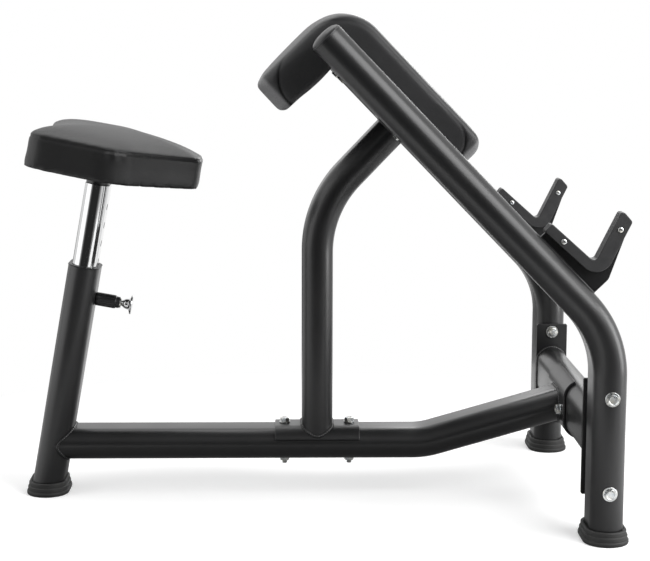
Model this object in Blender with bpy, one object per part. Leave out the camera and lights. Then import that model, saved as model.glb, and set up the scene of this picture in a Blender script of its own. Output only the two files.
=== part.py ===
"""Preacher bench, modelled at real size in metres, +Z up.

The bench faces +X: the sitter sits over the foot at -X and leans on the pad above the two legs at +X.
-Y is the sitter's right. The origin is on the floor, under the middle of the bench.
"""

import math

import bmesh
import bpy
from mathutils import Vector

# Clearances
GAP = 0.0003
HOLE_GAP = 0.0003

# Flat oval frame tube: the short side lies in the plane of the bends, the long side runs along Y
TUBE_SHORT = 0.060
TUBE_LONG = 0.105
TUBE_WALL = 0.003
OVAL_STEPS = 8
BEND_STEPS = 8

# Plan of the frame
FOOT_SPREAD = 1.0332
LEG_HALF_SPREAD = 0.338
POST_FROM_LEGS = 0.506

# Rubber foot caps
CAP_LIP = 0.011
CAP_HEIGHT = 0.026
CAP_FLOOR = 0.006
CAP_TIER_STEP = 0.0022
CAP_TAPER = 0.0008
CAP_EDGE = 0.0015
CAP_TIERS = 3
# Share of the rear cap's height at which the sleeve's axis crosses the cap's middle
CAP_CENTRING = 0.6

# Legs: upright, then bent back over the bench
KNEE_Z = 0.3716
SLANT_ANGLE = math.radians(45.9)
KNEE_RADIUS = 0.180
SLANT_LENGTH = 0.713
PLUG_RIM = 0.0028
PLUG_DOME = 0.010
PLUG_SPIGOT = 0.020
# Rings of the plug's domed end: shares of the dome's height, and how strongly it closes in
PLUG_DOME_STEPS = (0.45, 0.75, 0.95)
PLUG_ROUNDING = 0.86

# Cross tube between the legs, and the bracket plates at its ends
CROSS_Z = 0.179
BRACKET_WIDTH = 0.0645
BRACKET_THICK = 0.006
BRACKET_CORNER = 0.003
BRACKET_UP = 0.102
BRACKET_DOWN = 0.113
LEG_BOLT_UP = 0.0855
LEG_BOLT_DOWN = 0.084

# Main beam and its saddle plates
BEAM_Z = 0.0989
BEAM_KNEE_FROM_POST = 0.209
BEAM_KNEE_RADIUS = 0.160
BEAM_END_DROP = 0.005
SADDLE_THICK = 0.005
SADDLE_FLAP = math.radians(68.3)
SADDLE_STEPS = 6
BEAM_SADDLE_WIDTH = 0.184
BEAM_BOLT_Y = 0.066
POST_SADDLE_LENGTH = 0.1648
POST_BOLT_X = 0.0635

# Centre post
POST_KNEE_Z = 0.562
POST_KNEE_RADIUS = 0.217
POST_LEAN = math.radians(43.7)

# Sleeve that holds the seat post
SLEEVE_LEAN = math.radians(10.24)
SLEEVE_LENGTH = 0.455
BUSH_WALL = 0.0034
BUSH_DEPTH = 0.050
BUSH_COLLAR = 0.002
BUSH_COLLAR_LIP = 0.001
BUSH_CHAMFER = 0.0008

# Pull pin
PIN_BELOW_MOUTH = 0.0616
PIN_RADIUS = 0.005
BARREL_RADIUS = 0.013
BARREL_LENGTH = 0.0467
BARREL_CHAMBER = 0.0082
BARREL_SIDES = 16
BARREL_WALL = 0.004
BARREL_CHAMFER = 0.0015
BARREL_NECK = 0.005
BARREL_NECK_SLOPE = 0.002
BARREL_NECK_IN = 0.002
FLUTE_DEPTH = 0.0007
CAP_NUT_LENGTH = 0.003
CAP_NUT_RADIUS = 0.010
CAP_NUT_CHAMFER = 0.0006
TIP_CHAMFER = 0.001
COLLAR_THICK = 0.003
COLLAR_SLACK = 0.0004
KNOB_RADIUS = 0.019
KNOB_LENGTH = 0.021
KNOB_FACE_IN = 0.0012
KNOB_DOME = 0.0006
# Shares of the knob's length where its rim starts and ends
KNOB_RIM_START = 0.87
KNOB_RIM_END = 0.94
# The knob's radii where its bell swells from the stem and flares, and their shares of its length
KNOB_RADII = (0.0055, 0.0080, 0.0098, 0.0108, 0.0140)
KNOB_PLACES = (0.06, 0.22, 0.42, 0.66, 0.80)
STUD_RADIUS = 0.003
SPRING_TURNS = 5
SPRING_STEPS = 8
SPRING_WIRE_SIDES = 5
SPRING_WIRE = 0.0006

# Seat post
SEAT_POST_SHORT = 0.046
SEAT_POST_LONG = 0.091
SEAT_POST_WALL = 0.0025
SEAT_POST_BELOW_PIN = 0.1034
HOLE_PITCH = 0.036
HOLE_COUNT = 6
HOLE_RADIUS = 0.0065
POST_ABOVE_TOP_HOLE = 0.0435
GUIDE_BELOW = 0.010
GUIDE_INSIDE = 0.020

# Seat
MOUNT_NECK_SHORT = 0.044
MOUNT_NECK_LONG = 0.088
MOUNT_NECK_HEIGHT = 0.020
MOUNT_PLATE_SHORT = 0.100
MOUNT_PLATE_LONG = 0.170
MOUNT_PLATE_THICK = 0.005
MOUNT_SPIGOT = 0.030
SEAT_BOLT_Y = 0.065
SEAT_BOLT_BITE = 0.009
SEAT_BOARD_THICK = 0.012
SEAT_BOARD_INSET = 0.014
SEAT_REAR = 0.1245
SEAT_REAR_HALF = 0.185
SEAT_KINK = 0.045
SEAT_KINK_HALF = 0.210
SEAT_NOSE = 0.190
SEAT_NOSE_HALF = 0.046
SEAT_BAND = 0.056
SEAT_CROWN = 0.029
SEAT_DRAW = 0.004
SEAT_SIDE_DRAW = 0.001
SEAT_REAR_DRAW = 0.011
SEAT_NOSE_RADIUS = 0.034
SEAT_KINK_RADIUS = 0.070
SEAT_REAR_RADIUS = 0.036
SEAT_LEAST_RADIUS = 0.012
# Rings up the seat's side band: how far each is drawn in, and its share of the band's height
SEAT_LIP = 0.0035
SEAT_LIP_IN = 0.010
SEAT_HEM_IN = 0.0012
SEAT_HOLLOW = 0.0012
SEAT_SEAM_IN = 0.0008
SEAT_SIDE_SHARES = (0.0, 0.04, 0.50, 0.93, 1.0)
# The top panel rises steeply from its seam behind and more gently towards the nose
SEAT_TOP_SHARES = (0.985, 0.95, 0.86, 0.70, 0.48, 0.20)
SEAT_SWELL_REAR = 0.5
SEAT_SWELL_NOSE = 0.95
SEAT_CROWN_BACK = 0.020

# Arm and chest pad, measured along the slant (t, up the slope) and square to it (n)
PAD_SIDE_GAP = 0.0055
PAD_PAST_TUBE = 0.0388
PAD_ARM_LENGTH = 0.3708
PAD_CHEST_LENGTH = 0.2248
PAD_FACE = 0.0768
PAD_UNDERSIDE = -0.004
PAD_CHEST_THICK = 0.073
PAD_INNER_BEND = 0.008
PAD_PLAN_RADIUS = 0.045
PAD_ARM_END_RADIUS = 0.028
PAD_CHEST_END_RADIUS = 0.012
PAD_BACK_RADIUS = 0.008
PAD_BACK_SWELL = 0.0035
PAD_BEND_FULL = 0.0035
PAD_EDGE_RADIUS = 0.014
PAD_CROWN = 0.004
PAD_DRAW = 0.005
PAD_CROWN_RAMP = 0.120
PAD_HEM_IN = 0.002
PAD_HEM_HEIGHT = 0.004
# Shares of the plan corner, of the side's height and of the face's half width where rings and points lie
PAD_END_STEPS = (0.0, 0.027, 0.11, 0.24, 0.40, 0.62, 1.0)
PAD_SIDE_STEP = 0.55
PAD_FACE_STEPS = (0.75, 0.45, 0.0)
PAD_ARM_STEPS = 5
PAD_CHEST_STEPS = 2
PAD_BEND_STEPS = 6
BOARD_THICK = 0.015
BOARD_INSET = 0.012
BOARD_END_STEPS = (0.0, 0.12, 0.4, 1.0)
BOARD_ARM_BEND = (0.0, 0.5, 1.0)
BOARD_CHEST_BEND = (0.0, 0.4, 0.7, 0.87)

# Rails that carry the pad between the slanted tubes
RAIL_WIDTH = 0.044
RAIL_DEPTH = 0.0247
RAIL_WALL = 0.0025
RAIL_CORNER = 0.004
RAIL_FROM_BEND = 0.001
PAD_BOLT_FROM_LEG = 0.158
PAD_BOLT_BITE = 0.010

# Bar catches, in the same (t, n) directions as the pad
CATCH_CORNER_T = 0.1124
CATCH_CORNER_N = 0.0679
CATCH_BACK_TURN = math.radians(-4.3)
CATCH_HOOK_TURN = math.radians(70.3)
CATCH_ARM = 0.1025
CATCH_BACK_BAND = 0.0190
CATCH_HOOK_BAND = 0.0258
CATCH_TIP_DROP = 0.0106
CATCH_FILLET = 0.008
CATCH_OUTER_FILLET = 0.030
LINER_END_RADIUS = 0.004
LINER_TIP_RADIUS = 0.006
PLATE_FOOT_RADIUS = 0.002
PLATE_END_RADIUS = 0.003
PLATE_TIP_RADIUS = 0.004
CATCH_PLATE_THICK = 0.008
CATCH_WIDTH = 0.034
LINER_SKIN = 0.006
LINER_END = 0.005
CATCH_HEEL_T = 0.0715
CATCH_HEEL_N = 0.0652
CATCH_HEEL_FILLET = 0.018
CATCH_BACK_SCREW = 0.066
CATCH_HOOK_SCREW = 0.0705
SCREW_RADIUS = 0.0025
SCREW_HEAD = 0.0055
SCREW_HEAD_HEIGHT = 0.0022
SCREW_RIM = 0.4
SCREW_CROWN = 0.6

# Hexagon bolts: across flats, head height, flange radius, flange height, shank radius
LEG_BOLT = (0.018, 0.0065, 0.013, 0.0025, 0.006)
FRAME_BOLT = (0.016, 0.0075, 0.0105, 0.0025, 0.005)
PAD_BOLT = (0.013, 0.0030, 0.008, 0.0010, 0.004)
BOLT_SIDES = 12
# Shares of a head's height and corner radius that its chamfer takes, and how a nut and its flange close in
HEAD_CHAMFER = 0.12
HEAD_TOP = 0.86
NUT_TOP = 0.94
NUT_FLANGE_TOP = 0.96
THREAD_PAST_NUT = 0.008
BEAM_BOLT_GRIP = 0.012

SHARP_ANGLE = math.radians(35)
CUT_PAST = 0.02

# Colour, metallic and roughness of each finish
FINISHES = {
    "powder_coat": ((0.012, 0.012, 0.013), 0.0, 0.42),
    "vinyl": ((0.020, 0.020, 0.021), 0.0, 0.50),
    "rubber": ((0.018, 0.018, 0.018), 0.0, 0.75),
    "moulded_black": ((0.014, 0.014, 0.015), 0.0, 0.45),
    "liner_black": ((0.022, 0.022, 0.023), 0.0, 0.65),
    "chrome": ((0.78, 0.79, 0.80), 1.0, 0.08),
    "zinc": ((0.62, 0.64, 0.66), 1.0, 0.30),
    "plywood": ((0.05, 0.05, 0.05), 0.0, 0.85),
}

# Places worked out from the sizes above
LEG_X = FOOT_SPREAD / 2
REAR_CAP_X = -FOOT_SPREAD / 2
SLEEVE_X = REAR_CAP_X - CAP_CENTRING * CAP_HEIGHT * math.tan(SLEEVE_LEAN)
POST_X = LEG_X - POST_FROM_LEGS
TUBE_FLAT = (TUBE_LONG - TUBE_SHORT) / 2
TUBE_HALF = TUBE_SHORT / 2
FOOT_END_Z = CAP_FLOOR + GAP
SADDLE_INNER = TUBE_HALF + GAP
SADDLE_OUTER = SADDLE_INNER + SADDLE_THICK
BRACKET_OUTER_Y = LEG_HALF_SPREAD - TUBE_LONG / 2 - GAP
BRACKET_INNER_Y = BRACKET_OUTER_Y - BRACKET_THICK
CROSS_END_Y = BRACKET_INNER_Y - GAP
PAD_HALF_WIDTH = LEG_HALF_SPREAD - TUBE_LONG / 2 - PAD_SIDE_GAP
PAD_BOLT_Y = LEG_HALF_SPREAD - PAD_BOLT_FROM_LEG
RAIL_TOP = PAD_UNDERSIDE - GAP
RAIL_BOTTOM = RAIL_TOP - RAIL_DEPTH
RAIL_MIDDLE = RAIL_TOP - RAIL_DEPTH / 2
PIN_HEIGHT = SLEEVE_LENGTH - PIN_BELOW_MOUTH
SEAT_POST_BOTTOM = PIN_HEIGHT - SEAT_POST_BELOW_PIN
SEAT_POST_TOP = PIN_HEIGHT + (HOLE_COUNT - 1) * HOLE_PITCH + POST_ABOVE_TOP_HOLE
MOUNT_BOTTOM = SEAT_POST_TOP + GAP
PLATE_BOTTOM = MOUNT_BOTTOM + MOUNT_NECK_HEIGHT
SEAT_BOTTOM = PLATE_BOTTOM + MOUNT_PLATE_THICK + GAP


def clear_scene():
    for old in list(bpy.data.objects):
        bpy.data.objects.remove(old, do_unlink=True)


def oval(short, long):
    """A flat oval as (u, v) points: u across the short side, v along the long side."""
    radius = short / 2
    flat = (long - short) / 2
    points = []
    for side in (1, -1):
        for step in range(OVAL_STEPS + 1):
            angle = math.pi * step / OVAL_STEPS
            across = side * radius * math.cos(angle)
            along = side * (flat + radius * math.sin(angle))
            points.append((across, along))
    return points


def line_crossing(point_a, along_a, point_b, along_b):
    """Where two lines in a plane meet."""
    cross = along_a[0] * along_b[1] - along_a[1] * along_b[0]
    gap = (point_b[0] - point_a[0], point_b[1] - point_a[1])
    reach = (gap[0] * along_b[1] - gap[1] * along_b[0]) / cross
    return (point_a[0] + along_a[0] * reach, point_a[1] + along_a[1] * reach)


def inset(corners, distances):
    """Moves each side of a counterclockwise polygon inwards by its own distance."""
    count = len(corners)
    lines = []
    for i in range(count):
        a = Vector(corners[i])
        b = Vector(corners[(i + 1) % count])
        along = (b - a).normalized()
        inwards = Vector((-along.y, along.x))
        lines.append((a + inwards * distances[i], along))
    return [line_crossing(*lines[i - 1], *lines[i]) for i in range(count)]


def rounded(corners, radii, steps=4, draws=None, middles=0):
    """A counterclockwise polygon with rounded corners, and points along each side that draws pull inwards."""
    count = len(corners)
    draws = draws or [0.0] * count
    points = []
    for i in range(count):
        here = Vector(corners[i])
        back = (Vector(corners[i - 1]) - here).normalized()
        ahead = (Vector(corners[(i + 1) % count]) - here).normalized()
        half = back.angle(ahead) / 2
        reach = radii[i] / math.tan(half)
        centre = here + (back + ahead).normalized() * (radii[i] / math.sin(half))
        first = here + back * reach - centre
        last = here + ahead * reach - centre
        turn = first.angle_signed(last)
        for step in range(steps + 1):
            angle = turn * step / steps
            points.append(centre + turned_vector(first, -angle))
        following = (i + 1) % count
        start = centre + last
        end = corner_start(corners, radii, following)
        along = (end - start).normalized()
        inwards = Vector((-along.y, along.x))
        for step in range(1, middles + 1):
            share = step / (middles + 1)
            pull = draws[i] * math.sin(math.pi * share)
            points.append(start.lerp(end, share) + inwards * pull)
    return [tuple(point) for point in points]


def turned_vector(vector, angle):
    cosine = math.cos(angle)
    sine = math.sin(angle)
    return Vector((vector.x * cosine - vector.y * sine, vector.x * sine + vector.y * cosine))


def corner_start(corners, radii, index):
    """Where the rounding of a corner begins."""
    here = Vector(corners[index])
    back = (Vector(corners[index - 1]) - here).normalized()
    ahead = (Vector(corners[(index + 1) % len(corners)]) - here).normalized()
    half = back.angle(ahead) / 2
    return here + back * (radii[index] / math.tan(half))


def mesh_of(name, loops, ring=False):
    """A closed mesh over a row of loops: capped at both ends, or joined end to end as a ring."""
    work = bmesh.new()
    rows = [[work.verts.new(point) for point in loop] for loop in loops]
    pairs = list(zip(rows, rows[1:]))
    if ring:
        pairs.append((rows[-1], rows[0]))
    else:
        work.faces.new(rows[0])
        work.faces.new(rows[-1])
    for low, high in pairs:
        for i in range(len(low)):
            j = (i + 1) % len(low)
            work.faces.new((low[i], low[j], high[j], high[i]))
    bmesh.ops.recalc_face_normals(work, faces=work.faces)
    mesh = bpy.data.meshes.new(name)
    work.to_mesh(mesh)
    work.free()
    mesh.shade_smooth()
    mesh.set_sharp_from_angle(angle=SHARP_ANGLE)
    return mesh


def empty(name, location=(0, 0, 0), rotation=(0, 0, 0), parent=None):
    holder = bpy.data.objects.new(name, None)
    bpy.context.scene.collection.objects.link(holder)
    holder.location = location
    holder.rotation_euler = rotation
    holder.parent = parent
    return holder


def finished(name, finish):
    """A material of its own for one piece, in the named finish."""
    colour, metallic, roughness = FINISHES[finish]
    material = bpy.data.materials.new(f"{name} {finish}")
    material.use_nodes = True
    shader = material.node_tree.nodes["Principled BSDF"]
    shader.inputs["Base Color"].default_value = (*colour, 1.0)
    shader.inputs["Metallic"].default_value = metallic
    shader.inputs["Roughness"].default_value = roughness
    return material


def piece(name, mesh, finish, location=(0, 0, 0), rotation=(0, 0, 0), parent=None, cutters=()):
    made = bpy.data.objects.new(name, mesh)
    bpy.context.scene.collection.objects.link(made)
    made.location = location
    made.rotation_euler = rotation
    made.parent = parent
    if not mesh.materials:
        mesh.materials.append(None)
    made.material_slots[0].link = "OBJECT"
    made.material_slots[0].material = finished(name, finish)
    for cutter in cutters:
        cut = made.modifiers.new(f"cut {cutter.name}", "BOOLEAN")
        cut.operation = "DIFFERENCE"
        cut.solver = "EXACT"
        cut.object = cutter
    return made


def cutter(name, mesh, location=(0, 0, 0), rotation=(0, 0, 0), parent=None):
    made = bpy.data.objects.new(name, mesh)
    bpy.context.scene.collection.objects.link(made)
    made.location = location
    made.rotation_euler = rotation
    made.parent = parent
    made.hide_render = True
    made.display_type = "WIRE"
    return made


def bent_path(start, knee, end, radius):
    """Points and directions in the XZ plane along a straight, a bend about the knee and a second straight."""
    start, knee, end = Vector(start), Vector(knee), Vector(end)
    first = (knee - start).normalized()
    second = (end - knee).normalized()
    turn = first.angle_signed(second)
    reach = radius * math.tan(abs(turn) / 2)
    path = [(start, first)]
    side = math.copysign(1, turn)
    inwards = Vector((side * first.y, -side * first.x))
    centre = knee - first * reach + inwards * radius
    for step in range(BEND_STEPS + 1):
        angle = turn * step / BEND_STEPS
        along = turned_vector(first, -angle)
        path.append((centre - turned_vector(inwards, -angle) * radius, along))
    path.append((end, second))
    return path


def tube_loops(path, start_face=None, end_face=None, short=TUBE_SHORT, long=TUBE_LONG, wall=TUBE_WALL):
    """Rings of a flat oval tube: up the outside and back down the inside.

    A face direction tips the cut at that end out of square.
    """
    outside = []
    inside = []
    for i, (point, along) in enumerate(path):
        square = Vector((along.y, -along.x))
        face = start_face if i == 0 else end_face if i == len(path) - 1 else None
        across = Vector(face) / Vector(face).dot(square) if face else square
        for section, rings in (
            (oval(short, long), outside),
            (oval(short - 2 * wall, long - 2 * wall), inside),
        ):
            ring = [(point.x + across.x * u, v, point.y + across.y * u) for u, v in section]
            rings.append(ring)
    return outside + inside[::-1]


def prism(outline, low, high, place):
    """Two loops of an outline: place turns (a, b, height) into a point."""
    return [[place(a, b, height) for a, b in outline] for height in (low, high)]


def along_x(a, b, height):
    return (height, a, b)


def along_y(a, b, height):
    return (a, height, b)


def along_z(a, b, height):
    return (a, b, height)


def slope_along_y(t, n, height):
    """Up the slope and square to it, as the slant frame's own X and Z."""
    return (-t, height, n)


def circle(radius, height, sides=BOLT_SIDES, hexagon=False, flute=0.0):
    """A ring about Z. Every other point of a hexagon lies in the middle of a flat."""
    points = []
    for i in range(sides):
        reach = radius
        if i % 2:
            reach = radius * math.cos(math.pi / 6) if hexagon else radius - flute
        angle = 2 * math.pi * i / sides
        points.append((reach * math.cos(angle), reach * math.sin(angle), height))
    return points


def bolt_mesh(name, size, length):
    """A flanged hexagon bolt. Its flange sits at 0, the head is up and the shank down."""
    flats, head, flange, flange_height, shank = size
    corner = flats / math.sqrt(3)
    top = flange_height + head
    loops = [
        circle(shank, -length),
        circle(shank, 0),
        circle(flange, 0),
        circle(flange, flange_height),
        circle(corner, flange_height, hexagon=True),
        circle(corner, top - head * HEAD_CHAMFER, hexagon=True),
        circle(corner * HEAD_TOP, top),
    ]
    return mesh_of(name, loops)


def nut_mesh(name, size):
    """A flanged hexagon nut. Its flange sits at 0 and it stands up from there."""
    flats, head, flange, flange_height, shank = size
    corner = flats / math.sqrt(3)
    top = flange_height + head
    bore = shank + HOLE_GAP
    loops = [
        circle(flange, 0),
        circle(flange * NUT_FLANGE_TOP, flange_height),
        circle(corner, flange_height, hexagon=True),
        circle(corner * NUT_TOP, top),
        circle(bore, top),
        circle(bore, 0),
    ]
    return mesh_of(name, loops, ring=True)


def drill_mesh(name, radius, low, high):
    return mesh_of(name, [circle(radius, low), circle(radius, high)])


def stack_height(size):
    return size[1] + size[3]


def slant_point(t, n):
    """World X and Z of a point given up the slope and square to it."""
    x = LEG_X - t * math.cos(SLANT_ANGLE) + n * math.sin(SLANT_ANGLE)
    z = KNEE_Z + t * math.sin(SLANT_ANGLE) + n * math.cos(SLANT_ANGLE)
    return Vector((x, z))


def slant_measures(x, z):
    """The reverse: how far up the slope a point lies, and how far square to it."""
    back = LEG_X - x
    up = z - KNEE_Z
    t = back * math.cos(SLANT_ANGLE) + up * math.sin(SLANT_ANGLE)
    n = up * math.cos(SLANT_ANGLE) - back * math.sin(SLANT_ANGLE)
    return t, n


def post_head():
    """Where the post's axis meets the underside of the lower rail, in world X and Z and up the slope."""
    target = RAIL_BOTTOM - GAP
    along = Vector((math.sin(POST_LEAN), math.cos(POST_LEAN)))
    knee = Vector((POST_X, POST_KNEE_Z))
    start = slant_measures(*knee)[1]
    rate = slant_measures(*(knee + along))[1] - start
    head = knee + along * ((target - start) / rate)
    return head, slant_measures(*head)[0]


def beam_rise():
    """Direction of the beam past its knee, towards the face of the saddle on the cross tube."""
    knee = Vector((POST_X + BEAM_KNEE_FROM_POST, BEAM_Z))
    aim = Vector((LEG_X - SADDLE_OUTER, CROSS_Z - BEAM_END_DROP))
    return knee, (aim - knee).normalized()


def make_foot_caps():
    """Three rubber caps, each stepped in three tiers, with a pocket for the tube."""
    tier = CAP_HEIGHT / CAP_TIERS
    loops = [oval_at(CAP_EDGE, 0)]
    for i in range(CAP_TIERS):
        step = i * CAP_TIER_STEP
        rise = CAP_EDGE if i == 0 else 0.0
        loops.append(oval_at(step, i * tier + rise))
        loops.append(oval_at(step + CAP_TAPER, (i + 1) * tier))
    mesh = mesh_of("foot cap", loops)
    pocket = oval(TUBE_SHORT + 2 * GAP, TUBE_LONG + 2 * GAP)
    top = CAP_HEIGHT + CUT_PAST
    upright = mesh_of("upright pocket", prism(pocket, CAP_FLOOR, top, along_z))
    lean = math.tan(SLEEVE_LEAN)
    leaning_loops = []
    for height in (CAP_FLOOR, top):
        middle = SLEEVE_X - REAR_CAP_X + height * lean
        stretch = 1 / math.cos(SLEEVE_LEAN)
        leaning_loops.append([(middle + u * stretch, v, height) for u, v in pocket])
    leaning = mesh_of("leaning pocket", leaning_loops)
    for side, y in (("right", -LEG_HALF_SPREAD), ("left", LEG_HALF_SPREAD)):
        place = (LEG_X, y, 0)
        hole = cutter(f"{side} cap pocket", upright, place)
        piece(f"{side}_foot_cap", mesh, "rubber", place, cutters=[hole])
    place = (REAR_CAP_X, 0, 0)
    hole = cutter("rear cap pocket", leaning, place)
    piece("rear_foot_cap", mesh, "rubber", place, cutters=[hole])


def oval_at(drawn_in, height):
    """An outline of a foot cap, drawn in from its widest."""
    short = TUBE_SHORT + 2 * (CAP_LIP - drawn_in)
    long = TUBE_LONG + 2 * (CAP_LIP - drawn_in)
    return [(u, v, height) for u, v in oval(short, long)]


def make_legs(slant_frame):
    """Both bent legs, their end plugs, and the plates and bolts that join them to the cross tube."""
    end = slant_point(SLANT_LENGTH, 0) - Vector((LEG_X, 0))
    path = bent_path((0, FOOT_END_Z), (0, KNEE_Z), end, KNEE_RADIUS)
    leg = mesh_of("leg tube", tube_loops(path), ring=True)

    heights = {"upper": CROSS_Z + LEG_BOLT_UP, "lower": CROSS_Z - LEG_BOLT_DOWN}
    reach = LEG_HALF_SPREAD + TUBE_LONG
    drill = drill_mesh("leg bolt hole", LEG_BOLT[4] + HOLE_GAP, -reach, reach)
    holes = []
    for level, z in heights.items():
        holes.append(cutter(f"{level} leg bolt hole", drill, (LEG_X, 0, z), (math.pi / 2, 0, 0)))

    half = BRACKET_WIDTH / 2
    outline = rounded(
        [(-half, -BRACKET_DOWN), (half, -BRACKET_DOWN), (half, BRACKET_UP), (-half, BRACKET_UP)],
        [BRACKET_CORNER] * 4,
        steps=2,
    )
    plate = mesh_of("leg bracket", prism(outline, -BRACKET_THICK / 2, BRACKET_THICK / 2, along_y))

    outer_face = LEG_HALF_SPREAD + TUBE_LONG / 2 + GAP
    nut_face = BRACKET_INNER_Y - GAP
    length = outer_face - nut_face + stack_height(LEG_BOLT) + THREAD_PAST_NUT / 2
    bolt = bolt_mesh("leg bolt", LEG_BOLT, length)
    nut = nut_mesh("leg nut", LEG_BOLT)

    rim = oval(TUBE_SHORT, TUBE_LONG)
    bore_short = TUBE_SHORT - 2 * (TUBE_WALL + GAP)
    bore_long = TUBE_LONG - 2 * (TUBE_WALL + GAP)
    spigot = oval(bore_short, bore_long)
    seat = SLANT_LENGTH + GAP
    rings = [
        (spigot, SLANT_LENGTH - PLUG_SPIGOT),
        (spigot, seat),
        (rim, seat),
        (rim, seat + PLUG_RIM),
    ]
    for share in PLUG_DOME_STEPS:
        shrink = TUBE_SHORT * PLUG_ROUNDING * (1 - math.sqrt(1 - share**2))
        dome = oval(TUBE_SHORT - shrink, TUBE_LONG - shrink)
        rings.append((dome, seat + PLUG_RIM + PLUG_DOME * share))
    plug = mesh_of("end plug", [[(-t, v, u) for u, v in section] for section, t in rings])

    for side, sign in (("right", -1), ("left", 1)):
        y = sign * LEG_HALF_SPREAD
        piece(f"{side}_leg_tube", leg, "powder_coat", (LEG_X, y, 0), cutters=holes)
        piece(f"{side}_end_plug", plug, "moulded_black", (0, y, 0), parent=slant_frame)
        plate_y = sign * (BRACKET_OUTER_Y - BRACKET_THICK / 2)
        piece(f"{side}_leg_bracket", plate, "powder_coat", (LEG_X, plate_y, CROSS_Z), cutters=holes)
        outwards = (-sign * math.pi / 2, 0, 0)
        inwards = (sign * math.pi / 2, 0, 0)
        for level, z in heights.items():
            bolt_place = (LEG_X, sign * outer_face, z)
            nut_place = (LEG_X, sign * nut_face, z)
            piece(f"{side}_{level}_leg_bolt", bolt, "zinc", bolt_place, outwards)
            piece(f"{side}_{level}_leg_nut", nut, "zinc", nut_place, inwards)


def saddle_arc(radius, side):
    """One round end of a saddle: a along the tube's flat, b out from it."""
    angles = [SADDLE_FLAP * step / SADDLE_STEPS for step in range(SADDLE_STEPS + 1)]
    return [(side * (TUBE_FLAT + radius * math.sin(t)), radius * math.cos(t)) for t in angles]


def saddle_outline():
    """A plate wrapped over the flat and both round ends of the tube."""
    outer = saddle_arc(SADDLE_OUTER, -1)[::-1] + saddle_arc(SADDLE_OUTER, 1)
    inner = saddle_arc(SADDLE_INNER, 1)[::-1] + saddle_arc(SADDLE_INNER, -1)
    return outer + inner


def saddle_cope():
    """All that lies under a saddle's outer face, for cutting a tube that is welded on it."""
    grown = SADDLE_OUTER + GAP
    over = saddle_arc(grown, -1)[::-1] + saddle_arc(grown, 1)
    reach = over[-1][0]
    return [(-reach, -TUBE_HALF)] + over + [(reach, -TUBE_HALF)]


def make_cross_tube():
    """The tube between the legs, with the saddle that the beam is welded to and its two bolts."""
    loops = []
    inside = []
    for y in (-CROSS_END_Y, CROSS_END_Y):
        loops.append([(u, y, v) for u, v in oval(TUBE_SHORT, TUBE_LONG)])
        bore = oval(TUBE_SHORT - 2 * TUBE_WALL, TUBE_LONG - 2 * TUBE_WALL)
        inside.append([(u, y, v) for u, v in bore])
    tube = mesh_of("cross tube", loops + inside[::-1], ring=True)
    place = (LEG_X, 0, CROSS_Z)

    towards_rear = (0, -math.pi / 2, 0)
    head_x = LEG_X - SADDLE_OUTER - GAP
    drill = drill_mesh("beam bolt hole", FRAME_BOLT[4] + HOLE_GAP, -CUT_PAST, CUT_PAST)
    bolt_z = CROSS_Z - BEAM_END_DROP
    holes = []
    bolt = bolt_mesh("beam bolt", FRAME_BOLT, SADDLE_THICK + TUBE_WALL + BEAM_BOLT_GRIP)
    for side, y in (("right", -BEAM_BOLT_Y), ("left", BEAM_BOLT_Y)):
        holes.append(cutter(f"{side} beam bolt hole", drill, (head_x, y, bolt_z), towards_rear))
        piece(f"{side}_beam_bolt", bolt, "zinc", (head_x, y, bolt_z), towards_rear)
    piece("cross_tube", tube, "powder_coat", place, cutters=holes)

    half = BEAM_SADDLE_WIDTH / 2
    loops = [[(-b, y, a) for a, b in saddle_outline()] for y in (-half, half)]
    piece("beam_saddle", mesh_of("beam saddle", loops), "powder_coat", place, cutters=holes)


def make_beam():
    """The main beam, coped to the sleeve at one end and to the saddle at the other."""
    sleeve_axis = (math.tan(SLEEVE_LEAN), 1)
    start = (SLEEVE_X + BEAM_Z * math.tan(SLEEVE_LEAN), BEAM_Z)
    knee, rise = beam_rise()
    inside_saddle = LEG_X - TUBE_HALF / 2
    end = knee + rise * ((inside_saddle - knee.x) / rise.x)
    path = bent_path(start, knee, end, BEAM_KNEE_RADIUS)
    tube = mesh_of("main beam", tube_loops(path, start_face=sleeve_axis, end_face=(0, 1)), ring=True)

    grown = oval(TUBE_SHORT + 2 * GAP, TUBE_LONG + 2 * GAP)
    cope = mesh_of("sleeve cope", prism(grown, 0, 2 * (BEAM_Z + TUBE_SHORT), along_z))
    lean = (0, SLEEVE_LEAN, 0)
    rear_cope = cutter("sleeve cope", cope, (SLEEVE_X, 0, 0), lean)

    loops = [[(-b, y, a) for a, b in saddle_cope()] for y in (-TUBE_LONG, TUBE_LONG)]
    front_cope = cutter("saddle cope", mesh_of("saddle cope", loops), (LEG_X, 0, CROSS_Z))

    drill = drill_mesh("post bolt hole", FRAME_BOLT[4] + HOLE_GAP, -TUBE_SHORT, TUBE_SHORT)
    holes = []
    for end_name, x in (("rear", -POST_BOLT_X), ("front", POST_BOLT_X)):
        holes.append(cutter(f"{end_name} post bolt hole", drill, (POST_X + x, 0, BEAM_Z)))
    piece(
        "main_beam",
        tube,
        "powder_coat",
        cutters=[rear_cope, front_cope, *holes],
    )
    return holes


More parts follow.
